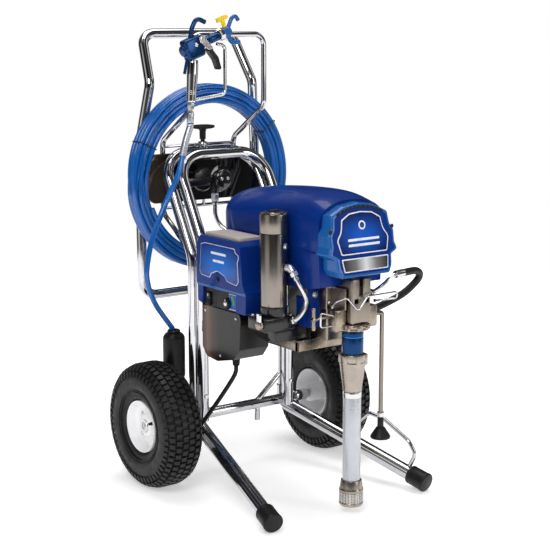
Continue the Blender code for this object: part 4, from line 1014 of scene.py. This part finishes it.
def make_pump():
    x, y, z = 0, PUMP_Y, 0.3372
    turned("clamp_ring", [(0, 0.0085), (0, 0.0255), (0.0035, 0.033), (0.006, 0.033), (0.0066, 0.0318),
        (0.0078, 0.0318), (0.0084, 0.033), (0.013, 0.033), (0.016, 0.03), (0.016, 0.0085)], (x, y, 0.385), UP,
        "nickel", "pump_clamp", steps=72, soft=0.001)
    for name, low, high in (("left", (-0.053, y - 0.012, 0.387), (-0.0257, y + 0.014, 0.433)),
            ("right", (0.0257, y - 0.012, 0.388), (0.056, y + 0.014, 0.433))):
        block(f"clamp_arm_{name}", low, high, "nickel", "pump_clamp", 0.0045, 4)
    for k, a in around(10):
        at = Vector((0.0318 * cos(a), y + 0.0318 * sin(a), 0.393))
        rod(f"clamp_lug_{k}", at - Vector((0, 0, 0.0052)), at + Vector((0, 0, 0.0052)), 0.004, "nickel",
            "pump_clamp", 16, 0.0012)
    turned("pump_barrel", [(0, 0.0085), (0, 0.0223), (0.034, 0.0223), (0.0345, 0.0212), (0.0365, 0.0212),
        (0.037, 0.0223), (0.0475, 0.0223), (0.0475, 0.0085)], (x, y, z), UP, "blue_metal", "pump_cylinder",
        steps=72, soft=0.0005)
    tube("pump_barrel_ring", 0.0344, 0.0366, 0.019, 0.0218, (x, y, z), UP, "blue_ring", "pump_cylinder", 72,
        0.0003)
    turned("intake_body", [(0, 0.007), (0, 0.019), (0.0015, 0.0197), (0.006, 0.0197), (0.03, 0.023),
        (0.056, 0.0262), (0.06, 0.0266), (0.0625, 0.0258), (0.065, 0.0268), (0.076, 0.0268), (0.078, 0.025),
        (0.078, 0.0085), (0.02, 0.0085), (0.018, 0.007)], (x, y, 0.259), UP, "pale_nickel", "pump_intake",
        steps=72, soft=0.001)
    for k, a in around(6, 0.3):
        at = Vector((0.0262 * cos(a), y + 0.0262 * sin(a), 0.327))
        block(f"intake_lug_{k}", (-0.0022, -0.005, -0.009), (0.0022, 0.005, 0.0085), "pale_nickel",
            "pump_intake", 0.0014, 3, spun(at, a))
    block("intake_boss", (0.02, y - 0.008, 0.308), (0.036, y + 0.008, 0.333), "pale_nickel", "pump_intake",
        0.004, 4)
    rod("intake_plug", (0.035, y, 0.3205), (0.037, y, 0.3205), 0.0062, "bright_steel", "pump_intake", 6)
    tube("suction_pipe", 0.06, 0.2587, 0.015, 0.0185, (x, y, 0), UP, "pale", "suction_tube", steps=72)
    tube("suction_collar", 0.245, 0.258, 0.016, 0.019, (x, y, 0), UP, "bright_steel", "suction_tube", 72)
    turned("strainer_cup", [(0.016, 0), (0.016, 0.023), (0.02, 0.0255), (0.023, 0.0255), (0.024, 0.0238),
        (0.045, 0.0238), (0.046, 0.0255), (0.05, 0.0255), (0.054, 0.024), (0.07, 0.0215), (0.07, 0.0188),
        (0.0597, 0.0188), (0.0597, 0.012), (0.022, 0.012), (0.022, 0)], (x, y, 0), UP, "pale_nickel",
        "strainer", steps=72, soft=0.0008)
    for k, a in around(24):
        block(f"strainer_rib_{k}", (0.0225, -0.0009, 0.0235), (0.0251, 0.0009, 0.0455), "bright_steel",
            "strainer", 0.0004, 1, spun((x, y, 0), a))
    for k in range(6):
        tube(f"strainer_hoop_{k}", 0, 0.0009, 0.0225, 0.0248, (x, y, 0.0262 + 0.0034 * k), UP, "bright_steel",
            "strainer", 48, 0.0002)

    route = [(0.056, -0.366, 0.45), (0.064, -0.38, 0.457), (0.078, -0.39, 0.47), (0.103, -0.391, 0.486),
        (0.138, -0.388, 0.4885), (0.17, -0.384, 0.488), (0.187, -0.378, 0.478), (0.183, -0.372, 0.462),
        (0.154, -0.364, 0.438), (0.11, -0.352, 0.418), (0.07, -0.335, 0.402), (0.05, -0.325, 0.396)]
    run = smooth_route(route, 0.003)
    metal_end = next(i for i, p in enumerate(run) if p.x > 0.118)
    pipe("pump_hose_run", run[metal_end:], 0.0078, "rubber", "pump_hose", sides=28)
    for part, piece, radius, sides in (("neck", run[:metal_end + 2], 0.0047, 24),
            ("nut", run[1:5], 0.0079, 6), ("ferrule", run[metal_end - 4:metal_end + 5], 0.008, 28)):
        pipe(f"pump_hose_{part}", piece, radius, "bright_steel", "pump_hose", sides)

    drain = rounded([(0.0565, -0.388, 0.412), (0.076, -0.388, 0.412), (0.076, -0.388, 0.198)], 0.006, 8)
    pipe("drain_pipe", drain, 0.0048, "steel", "drain_tube", sides=24)
    foot = Vector((0.076, -0.388, 0.145))
    turned("drain_foot", [(0, 0), (0, 0.02), (0.0015, 0.021), (0.005, 0.0208), (0.0235, 0.0086), (0.0235, 0)],
        foot, UP, "rubber", "drain_tube", 56, 0.001)
    turned("drain_foot_neck", [(0.023, 0), (0.023, 0.0066), (0.047, 0.0064), (0.047, 0)], foot, UP, "rubber",
        "drain_tube", 40)
    tube("drain_foot_ring", 0.046, 0.056, 0, 0.0074, foot, UP, "bright_steel", "drain_tube", 40)
    for k, a in around(12):
        turn = spun(foot, a) @ Matrix.Rotation(radians(-33), 4, "Y")
        block(f"drain_foot_rib_{k}", (0.013, -0.0006, -0.0005), (0.015, 0.0006, 0.012), "rubber",
            "drain_tube", 0.0004, 1, turn)


def make_bails():
    y = PUMP_Y
    hoop = [(-0.0545, y, 0.4385), (-0.0545, y - 0.015, 0.452), (-0.042, y - 0.031, 0.461),
        (-0.015, y - 0.035, 0.431), (0.006, y - 0.037, 0.459), (0.083, y - 0.038, 0.46),
        (0.086, y - 0.036, 0.446), (0.0575, y - 0.015, 0.442), (0.0575, y, 0.4385)]
    pipe("front_bail_wire", rounded(hoop, 0.007, 8), 0.002, "chrome", "front_bail", sides=16, ease=0.0003)
    for side, at in ((-1, -0.0555), (1, 0.0585)):
        rod(f"bail_eye_{side + 1}", (at, y, 0.4385), (at - side * 0.0022, y, 0.4385), 0.0038, "chrome",
            "front_bail")
    side = [(-0.0555, y - 0.006, 0.422), (-0.088, y - 0.006, 0.432), (-0.088, y - 0.006, 0.402),
        (-0.056, y - 0.006, 0.402)]
    pipe("side_bail_wire", rounded(side, 0.005, 8), 0.0019, "chrome", "side_bail", sides=16, ease=0.0003)
    tube("clamp_screw_shaft", 0, 0.0464, 0, 0.0032, (-0.0536, y + 0.006, 0.418), LEFT, "nickel",
        "clamp_handle", steps=28)
    tube("clamp_screw_collar", 0.034, 0.0464, 0, 0.0046, (-0.0536, y + 0.006, 0.418), LEFT, "nickel",
        "clamp_handle")
    turned("clamp_cross_bar", [(0, 0), (0, 0.0034), (0.002, 0.004), (0.02, 0.0036), (0.026, 0.0036),
        (0.044, 0.004), (0.046, 0.0034), (0.046, 0)], (-0.096, y + 0.006, 0.395), UP, "nickel",
        "clamp_handle", 28)


# ---------------------------------------------------------------- controls and filter
def on_side(outline, x, thickness, name, look, node, bevel=0.0005):
    """A raised sheet on the control box's left side, from a (y, z) outline."""
    return skin(name, between(outline, x, x - thickness), look, node, bevel)


def make_controls():
    left, right = BOX_LEFT, BOX_RIGHT
    upper = [(-0.06, 0.47), (-0.064, 0.54), (-0.074, 0.556), (-0.208, 0.556), (-0.22, 0.546), (-0.228, 0.47),
        (-0.24, 0.45), (-0.24, 0.448), (-0.061, 0.448)]
    upper = smooth_outline(upper, 0.006, 5)
    skin("control_shell", between(upper, left, right), "blue_cover", "control_box", bevel=0.003, segments=4)
    for k, (y0, y1) in enumerate(((-0.24, -0.2045), (-0.0845, -0.064))):
        skirt = smooth_outline([(y0, 0.456), (y1, 0.456), (y1, 0.409 + 0.006 * k), (y0 + 0.002, 0.409)],
            0.003, 3)
        skin(f"control_skirt_{k}", between(skirt, left + 0.0004, right - 0.0004), "blue_cover", "control_box",
            0.0022, 3)
    block("control_back", (left + 0.012, -0.205, 0.4085), (right - 0.0005, -0.083, 0.456), "blue_cover",
        "control_box", 0.002)
    lip = rectangle(-0.239, -0.064, 0.453, 0.448, 0.002, 3)
    # The lip's lighter blue is a painted highlight along the box's lower edge.
    skin("control_lip", between(lip, left - 0.0006, left + 0.01), "blue_rim", "control_box", 0.0012, 3)
    badge = [(-0.079, 0.528), (-0.079, 0.538), (-0.094, 0.542), (-0.201, 0.542), (-0.205, 0.534),
        (-0.215, 0.53), (-0.216, 0.523), (-0.212, 0.514), (-0.215, 0.474), (-0.208, 0.466), (-0.175, 0.47),
        (-0.165, 0.48), (-0.14, 0.487), (-0.118, 0.479), (-0.11, 0.469), (-0.08, 0.472), (-0.074, 0.479),
        (-0.077, 0.519)]
    on_side(smooth_outline(badge, 0.0032, 4), left + 0.0002, 0.0012, "side_badge_line", "silver",
        "control_box", 0.0003)
    on_side(smooth_outline(inset(badge, 0.0013), 0.0028, 4), left - 0.0004, 0.0011, "side_badge",
        "side_badge", "control_box", 0.0002)
    for k, (y0, y1, z) in enumerate(((-0.172, -0.118, 0.524), (-0.165, -0.125, 0.508))):
        stripe = rectangle(y0, y1, z - 0.0026, z + 0.0026, 0.0012, 2)
        on_side(stripe, left - 0.0014, 0.0007, f"side_stripe_{k}", "silver", "control_box", 0.0002)
    turned("side_screw", [(0, 0), (0, 0.0056), (-0.0014, 0.0052), (-0.0022, 0.003), (-0.001, 0.002),
        (-0.0004, 0)], (left, -0.14, 0.469), RIGHT, "plastic", "control_box", 32)
    lid = rectangle(left + 0.0085, right - 0.0005, -0.205, -0.079, 0.006, 5)
    skin("lid_plate", [[(x, y, z) for x, y in lid] for z in (0.5563, 0.562)], "lid", "control_lid",
        bevel=0.0016, segments=3)
    for k in (-1, 1):
        turned(f"lid_screw_{k + 1}", [(0, 0), (0, 0.0034), (-0.0004, 0.003), (-0.0004, 0)],
            (-0.1225, -0.142 + k * 0.052, 0.5616), UP, "plastic", "control_lid", 24)

    skirt = smooth_outline([(-0.074, 0.406), (-0.211, 0.406), (-0.215, 0.393), (-0.21, 0.33), (-0.19, 0.306),
        (-0.13, 0.292), (-0.09, 0.296), (-0.074, 0.315)], 0.008, 6)
    # The copper band towards the shell's back is a painted reflection on black.
    skin("lower_shell", between(skirt, left + 0.0045, right + 0.01), "black_painted_reflection", "lower_cover",
        bevel=0.0035, segments=4)
    face = rectangle(-0.2036, -0.0844, 0.408, 0.447, 0.002, 3)
    on_side(face, left + 0.0092, 0.004, "panel_face", "plastic", "lower_cover", 0.0006)
    for k, (y, z) in enumerate(((-0.198, 0.395), (-0.086, 0.395), (-0.14, 0.306))):
        turned(f"lower_screw_{k}", [(0, 0), (0, 0.0034), (-0.001, 0.0032), (-0.0016, 0.0015), (-0.0006, 0)],
            (left + 0.0045, y, z), RIGHT, "bright_steel", "lower_cover", 24)
    gland = (-0.105, -0.125, 0.274)
    turned("cord_gland", [(0, 0.0049), (0, 0.0066), (0.015, 0.0082), (0.016, 0.0105), (0.034, 0.0105),
        (0.034, 0.0049)], gland, UP, "rubber", "lower_cover", 32)
    for k in range(4):
        turned(f"gland_rib_{k}", [(0, 0.005), (0, 0.0076 + 0.0003 * k), (0.0016, 0.0077 + 0.0003 * k),
            (0.0016, 0.005)], (gland[0], gland[1], 0.2752 + 0.0034 * k), UP, "rubber", "lower_cover", 32,
            0.0003)

    label = rectangle(-0.201, -0.174, 0.411, 0.444, 0.002, 3)
    on_side(label, left + 0.0054, 0.0006, "knob_label_line", "silver", "lower_cover", 0.0002)
    on_side(inset(label, 0.0012), left + 0.005, 0.0006, "knob_label", "label_blue", "lower_cover", 0.0002)
    arcs = ((0.0255, range(130, 189, 6)), (0.017, range(188, 129, -6)))
    arcs = [(r, radians(a)) for r, angles in arcs for a in angles]
    sweep = [(-0.169 + r * cos(a), 0.423 + r * sin(a)) for r, a in arcs]
    on_side(sweep, left + 0.0046, 0.0006, "knob_sweep", "green", "lower_cover", 0.0001)
    shaft = Vector((left - 0.002, -0.169, 0.423))
    turned("knob_body", [(0, 0), (0, 0.0085), (0.0012, 0.0108), (0.0058, 0.0116), (0.0062, 0.01),
        (0.0062, 0.0033), (0.02, 0.0033), (0.02, 0)], shaft, RIGHT, "plastic", "pressure_knob", steps=48)
    for k, a in around(14):
        at = shaft + Vector((0.0034, 0.0108 * cos(a), 0.0108 * sin(a)))
        rod(f"knob_ridge_{k}", at - Vector((0.0024, 0, 0)), at + Vector((0.0024, 0, 0)), 0.0012, "plastic",
            "pressure_knob", 10, 0.0003)
    turned("knob_centre", [(-0.0004, 0), (-0.0004, 0.005), (0.0008, 0.0056), (0.0008, 0)], shaft, RIGHT,
        "bright_steel", "pressure_knob", 32, 0.0003)
    block("knob_pointer", shaft + Vector((-0.0006, -0.0008, 0.0058)), shaft + Vector((0.001, 0.0008, 0.0096)),
        "silver", "pressure_knob", 0.0003)
    rocker = [(0.0, -0.014), (0.0, 0.014), (-0.0122, 0.014), (-0.0136, 0.012), (-0.0118, 0.0),
        (-0.0136, -0.012), (-0.0122, -0.014)]
    rocker = smooth_outline(rocker, 0.0016, 3)
    centre = Vector((left + 0.014, -0.101, 0.423))
    skin("switch_rocker", [[centre + Vector((a, y, b)) for a, b in rocker] for y in (-0.0068, 0.0068)],
        "plastic", "power_switch", bevel=0.0006)
    block("switch_mark", centre + Vector((-0.0139, -0.0008, 0.006)), centre + Vector((-0.0115, 0.0008,
        0.0105)), "silver", "power_switch", 0.0002)


def make_filter():
    x, y = FILTER.x, FILTER.y
    block("base_block", (x - 0.044, y - 0.03, 0.385), (x + 0.033, y + 0.03, 0.4137), "black_paint",
        "filter_base", bevel=0.004, segments=4)
    block("base_arm", (x - 0.01, y - 0.02, 0.3573), (x + 0.07, y + 0.01, 0.39), "black_paint", "filter_base",
        0.003, 3)
    tube("base_seat", 0, 0.003, 0, 0.0298, (x, y, 0.4105), UP, "black_paint", "filter_base", 64)
    for k, (dx, dy) in enumerate(((-0.036, 0.02), (0.025, -0.022), (0.025, 0.022))):
        bolt(f"base_bolt_{k}", (x + dx, y + dy, 0.4132), UP, 0.0046, "bright_steel", "filter_base")
    stem = Vector((x - 0.0445, y - 0.018, 0.4))
    turned("valve_body", [(-0.015, 0), (-0.015, 0.0041), (0.001, 0.0041), (0.001, 0.0085), (0.0035, 0.0085),
        (0.0042, 0.0076), (0.009, 0.0085), (0.009, 0)], stem, LEFT, "nickel", "prime_valve", steps=36)
    lever = smooth_outline([(-0.0046, -0.006), (0.0046, -0.006), (0.004, 0.015), (0.0046, 0.024),
        (-0.0046, 0.024), (-0.004, 0.015)], 0.0016, 3)
    slab("valve_lever", lever, stem + Vector((-0.0058, 0, 0)), BACK, UP, 0.0052, "chrome", "prime_valve",
        0.0012, segments=3)

    r, base = FILTER_R, 0.414
    turned("bowl_body", [(0, 0), (0, r), (0.1668, r), (0.1668, r - 0.0009), (0.1682, r - 0.0009),
        (0.1682, 0)], (x, y, base), UP, "steel", "filter_bowl", steps=96, soft=0.0004)
    turned("bowl_cap", [(0.168, 0), (0.168, r), (0.2062, r), (0.209, r - 0.0022), (0.209, 0)], (x, y, base),
        UP, "steel", "filter_bowl", 96, 0.0005)
    turned("bowl_top", [(0.2085, 0), (0.2085, 0.0215), (0.2105, 0.0205), (0.2105, 0)], (x, y, base), UP,
        "steel", "filter_bowl", 64, 0.0004)
    # A thin dark ring in the groove between bowl and cap paints the groove's shade.
    tube("bowl_joint", 0.1669, 0.1681, 0.02, r - 0.0002, (x, y, base), UP, "dark", "filter_bowl", 96, 0.0)
    turned("bowl_collar", [(0.0001, r - 0.001), (0.0001, r + 0.001), (0.018, r + 0.001), (0.02, r + 0.0004),
        (0.02, r - 0.001)], (x, y, base), UP, "black_paint", "filter_bowl", 72, 0.0004)
    block("bowl_tab", (x - 0.012, y - 0.0045, base + 0.209), (x + 0.012, y + 0.0045, base + 0.214), "dark",
        "filter_bowl", 0.0015, 3)
    # The notches are dark blocks that paint the shade inside the cuts.
    for k, a in around(6, pi / 6):
        at = Vector((x + 0.0246 * cos(a), y + 0.0246 * sin(a), base + 0.207))
        block(f"bowl_notch_{k}", (-0.003, -0.0032, -0.002), (0.0034, 0.0032, 0.0024), "dark", "filter_bowl",
            0.0008, 2, spun(at, a))
    out = Vector((0.35, -0.94, 0)).normalized()
    bolt("bowl_plug", Vector((x, y, 0.556)) + out * (r - 0.0006), out, 0.0056, "bright_steel", "filter_bowl")
    route = [(x + 0.0105, y - 0.0282, 0.5135), (-0.106, -0.319, 0.511), (-0.101, -0.33, 0.494),
        (-0.095, -0.336, 0.476), (-0.086, -0.338, 0.458), (-0.081, -0.337, 0.442), (-0.088, -0.331, 0.42),
        (-0.0975, -0.321, 0.406), (-0.098, -0.3108, 0.405)]
    run = smooth_route(route, 0.0022)
    pipe("outlet_run", run, 0.0048, "bright_steel", "outlet_pipe", sides=24)
    for part, low, high, radius, sides in (("elbow", 0, 9, 0.008, 24), ("nut", 9, 14, 0.0086, 6),
            ("collar", 14, 18, 0.0066, 24)):
        pipe(f"outlet_{part}", run[low:high], radius, "sleeve", "outlet_pipe", sides)
    pipe("outlet_low_nut", run[-6:-1], 0.0084, "bright_steel", "outlet_pipe", 6)


# ---------------------------------------------------------------- gun
def gun_block(name, low, high, look, node, bevel=0.0015, segments=3):
    """A box in the gun's own directions."""
    turn = Matrix.Translation(GUN) @ Matrix.Rotation(-PITCH, 4, "Y")
    return block(name, low, high, look, node, bevel, segments, turn)


def gun_pipe(name, points, radius, look, node, bend=0.01):
    """A bent bar in the gun's own directions."""
    return pipe(name, rounded([in_gun(*p) for p in points], bend, 8), radius, look, node, 20)


def make_gun():
    forward, up = gun_dir(1, 0, 0), gun_dir(0, 0, 1)
    gun_block("gun_block", (-0.024, -0.0125, -0.023), (0.022, 0.0125, 0.023), "blue_metal", "gun_body", 0.006,
        4)
    barrel_at = in_gun(-0.03, 0, 0.0015)
    turned("gun_barrel", [(0, 0), (0, 0.01), (0.002, 0.012), (0.05, 0.012), (0.056, 0.0098), (0.072, 0.0098),
        (0.073, 0.009), (0.075, 0.009), (0.076, 0.0098), (0.0995, 0.0098), (0.0995, 0)], barrel_at, forward,
        "blue_metal", "gun_body", 48)
    hook = [(-0.004, 0, 0.015), (0.012, 0, 0.04), (0.03, 0, 0.0565), (0.048, 0, 0.04)]
    gun_pipe("gun_hook", hook, 0.005, "blue_metal", "gun_body", 0.014)
    gun_pipe("gun_tail", [(-0.018, 0, -0.01), (-0.04, 0, -0.044)], 0.0034, "blue_metal", "gun_body")
    for side in (-1, 1):
        at = in_gun(0.003, side * 0.0122, 0.006)
        turned(f"gun_screw_{side + 1}", [(0, 0), (0, 0.0048), (0.0012, 0.0044), (0.0018, 0.002), (0.0006, 0)],
            at, (0, side, 0), "bright_steel", "gun_body", 28)

    end, top = GRIP_END, in_gun(-0.009, 0, -0.0236)
    reach = (top - end).length
    turned("gun_grip", [(0, 0), (0, 0.01), (0.004, 0.0105), (0.02, 0.0108), (0.06, 0.0122),
        (reach * 0.92, 0.0116), (reach, 0.0106), (reach, 0)], end, top - end, "chrome", "gun_handle",
        steps=48)
    for k in range(3):
        at = end + (top - end) * (0.18 + 0.04 * k)
        tube(f"grip_ring_{k}", 0, 0.0012, 0.01, 0.0114, at, top - end, "bright_steel", "gun_handle", 40,
            0.0003)
    gun_pipe("gun_guard_wire", [(-0.04, 0, -0.104), (0.0431, 0, -0.1225), (0.079, 0, -0.0236),
        (0.06, 0, -0.0135)], 0.0038, "bright_steel", "gun_handle", 0.012)

    lever = [(0.03, -0.015), (0.04, -0.015), (0.05, -0.04), (0.049, -0.066), (0.041, -0.066), (0.04, -0.042)]
    slab("trigger_lever", smooth_outline(lever, 0.006, 5), GUN, forward, up, 0.0155, "plastic", "trigger",
        bevel=0.003, segments=4)
    cheek = [(0.012, 0.019), (0.024, 0.019), (0.04, -0.015), (0.029, -0.016), (0.012, 0.008)]
    for k in (-1, 1):
        slab(f"trigger_cheek_{k + 1}", smooth_outline(cheek, 0.003, 4), GUN + Vector((0, k * 0.0145, 0)),
            forward, up, 0.0022, "bright_steel", "trigger", 0.0006)
    for side in (-1, 1):
        turned(f"trigger_pin_{side + 1}", [(0, 0), (0, 0.0036), (0.0014, 0.0032), (0.0014, 0)],
            in_gun(0.018, side * 0.0155, 0.014), (0, side, 0), "bright_steel", "trigger", 24)
    gun_block("trigger_bridge", (0.03, -0.015, -0.02), (0.039, 0.015, -0.014), "plastic", "trigger", 0.0018)

    tube("barrel_nut", 0, 0.012, 0, 0.0138, in_gun(0.0698, 0, 0.0015), forward, "chrome", "gun_nut", steps=8,
        soft=0.0008)
    seat = 0.0821
    ring = in_gun(seat, 0, 0.0015)
    turned("guard_ring", [(0, 0), (0, 0.0125), (0.003, 0.0125), (0.004, 0.0118), (0.015, 0.0118),
        (0.019, 0.0108), (0.019, 0)], ring, forward, "blue_rim", "tip_guard", steps=48)
    for k, a in around(16):
        at = ring + forward * 0.0095 + gun_dir(0, 1, 0) * 0.0117 * cos(a) + up * 0.0117 * sin(a)
        rod(f"guard_rib_{k}", at - forward * 0.005, at + forward * 0.005, 0.001, "blue_rim", "tip_guard", 8,
            0.0002)
    gun_pipe("guard_upper", [(seat + 0.016, 0, 0.006), (seat + 0.033, 0, 0.024), (seat + 0.045, 0, 0.027),
        (seat + 0.049, 0, 0.014)], 0.0044, "blue_rim", "tip_guard", 0.009)
    gun_pipe("guard_lower", [(seat + 0.012, 0, -0.006), (seat + 0.016, 0, -0.024), (seat + 0.036, 0, -0.031)],
        0.005, "blue_rim", "tip_guard", 0.009)
    base = in_gun(seat + 0.0095, 0, -0.011)
    rod("tip_barrel", base + up * 0.0003, base + up * 0.041, 0.0046, "yellow", "spray_tip", steps=32)
    flag = smooth_outline([(seat - 0.0075, 0.028), (seat + 0.019, 0.028), (seat + 0.0265, 0.0325),
        (seat + 0.019, 0.037), (seat - 0.0075, 0.037), (seat - 0.003, 0.0325)], 0.0016, 3)
    slab("tip_arrow", flag, GUN, forward, up, 0.0068, "yellow", "spray_tip", 0.0012, segments=3)

    along = end - top
    start = end + along.normalized() * 0.0003
    turned("swivel_fitting", [(0, 0), (0, 0.008), (0.015, 0.008), (0.0155, 0.0055), (0.019, 0.0055),
        (0.0195, 0.0078), (0.042, 0.0078), (0.043, 0.007), (0.044, 0)], start, along, "bright_steel",
        "hose_end", steps=6, soft=0.0003)
    turned("swivel_ferrule_sleeve", [(0.0235, 0), (0.0235, 0.0079), (0.044, 0.0074), (0.044, 0)], start,
        along, "sleeve", "hose_end", 40)


# ---------------------------------------------------------------- mains lead
def make_lead():
    """The lead runs down behind the near wheel into a neat coil on the floor, with its plug on top."""
    run, coil = lead_paths()
    whole = run[:-1] + smooth_route([run[-2], run[-1], coil[2]], 0.006)[1:-1] + coil[2:]
    lead = pipe("mains_lead", whole, LEAD_R, "rubber", "power_cord", sides=16)
    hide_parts("cord_coil")
    plug_low, plug_high = Vector((-0.125, 0.145, 0.031)), Vector((-0.075, 0.173, 0.053))
    plug = block("plug_body", plug_low, plug_high, "plastic", "mains_plug", bevel=0.0045, segments=4)
    for k in (-1, 1):
        block(f"plug_blade_{k + 1}", (-0.143, 0.1582 + k * 0.006, 0.0385),
            (-0.12, 0.1598 + k * 0.006, 0.044), "bright_steel", "mains_plug", 0.0005, 2)


make_lead()
make_cart()
make_wheels()
make_reel()
make_covers()
make_drive()
make_pump()
make_bails()
make_controls()
make_filter()
make_gun()

INSIDE = {"motor_can": "black_paint", "drive_rotor": "steel", "drive_gear": "steel",
    "pump_rod": "bright_steel"}
for node, look in INSIDE.items():
    shown = frame["nodes"][node]
    shown.data.materials.clear()
    shown.data.materials.append(LOOK[look])


# ---------------------------------------------------------------- studio
def panel(name, at, goal, width, height, power):
    """A rectangular lamp that faces its goal."""
    lamp = bpy.data.lights.new(name, "AREA")
    lamp.shape, lamp.size, lamp.size_y, lamp.energy = "RECTANGLE", width, height, power
    aim(put(name, lamp, at), Vector(goal) - Vector(at))


def make_floor():
    """A white floor that shines more the further it lies from the object, so that its edge can't be seen."""
    form = bmesh.new()
    bmesh.ops.create_circle(form, cap_ends=True, segments=96, radius=2.8)
    floor = put("floor", mesh_from(form, "floor"), (0, 0, -0.0005))
    ground = Finish("floor_white")
    ground.colour(ground.noise(0.6, 2), [(0.3, (0.93, 0.93, 0.935)), (0.7, (0.95, 0.95, 0.955))])
    ground.roughness(ground.noise(3, 2), 0.55, 0.65)
    ground.bump(ground.noise(500, 2), 0.00005)
    away = ground.node("ShaderNodeMapRange")
    for name, value in (("From Min", 0.5), ("From Max", 2.3), ("To Min", 0.46), ("To Max", 1.05)):
        away.inputs[name].default_value = value
    ground.link(ground.vector("LENGTH", ground.place.outputs["Object"]), away.inputs["Value"])
    ground.link(away.outputs["Result"], ground.shader.inputs["Emission Strength"])
    ground.uniform(Emission_Color=(1, 1, 1, 1))
    floor.data.materials.append(ground.material)


def make_world():
    """A studio of light and dark bands that shows only in reflections. The camera sees white."""
    world = bpy.data.worlds.new("studio")
    SCENE.world = world
    studio = Nodes(world)
    parts = studio.node("ShaderNodeSeparateXYZ")
    studio.link(studio.place.outputs["Generated"], parts.inputs["Vector"])
    angle = studio.node("ShaderNodeMath", operation="ARCTAN2")
    studio.link(parts.outputs["Y"], angle.inputs[0])
    studio.link(parts.outputs["X"], angle.inputs[1])
    turn = studio.node("ShaderNodeMapRange")
    turn.inputs["From Min"].default_value, turn.inputs["From Max"].default_value = -pi, pi
    studio.link(angle.outputs[0], turn.inputs["Value"])
    upright = studio.ramp(turn.outputs["Result"], [
        (0.0, 0.9), (0.03, 0.95), (0.055, 0.04), (0.22, 0.03), (0.245, 0.8), (0.285, 0.9), (0.31, 0.07),
        (0.4, 0.05), (0.43, 0.9), (0.49, 0.9), (0.52, 0.04), (0.68, 0.05), (0.71, 0.8), (0.77, 0.9),
        (0.8, 0.05), (0.93, 0.05), (0.96, 0.9)])
    level = studio.ramp(parts.outputs["Z"], [
        (0.0, 0.9), (0.05, 0.9), (0.12, 0.16), (0.3, 0.12), (0.38, 1.0), (0.58, 1.0), (0.66, 0.16),
        (0.82, 0.2), (0.9, 1.1)])
    both = studio.node("ShaderNodeMix", data_type="RGBA", blend_type="MULTIPLY")
    both.inputs["Factor"].default_value = 0.95
    studio.link(level, both.inputs["A"])
    studio.link(upright, both.inputs["B"])
    pick = studio.node("ShaderNodeMix", data_type="RGBA")
    pick.inputs["B"].default_value = (1, 1, 1, 1)
    studio.link(studio.node("ShaderNodeLightPath").outputs["Is Camera Ray"], pick.inputs["Factor"])
    studio.link(both.outputs["Result"], pick.inputs["A"])
    background = studio.tree.nodes["Background"]
    studio.link(pick.outputs["Result"], background.inputs["Color"])
    background.inputs["Strength"].default_value = 1.0


make_floor()
make_world()
panel("key_light", (-2.2, -2.0, 2.8), (0, 0, 0.45), 1.5, 1.5, 58)
panel("front_light", (1.3, -3.0, 1.5), (0, 0, 0.45), 0.8, 1.8, 22)
panel("top_light", (0.3, 0.4, 3.2), (0, 0, 0.4), 2.0, 2.0, 52)
SCENE.view_settings.view_transform = "Standard"
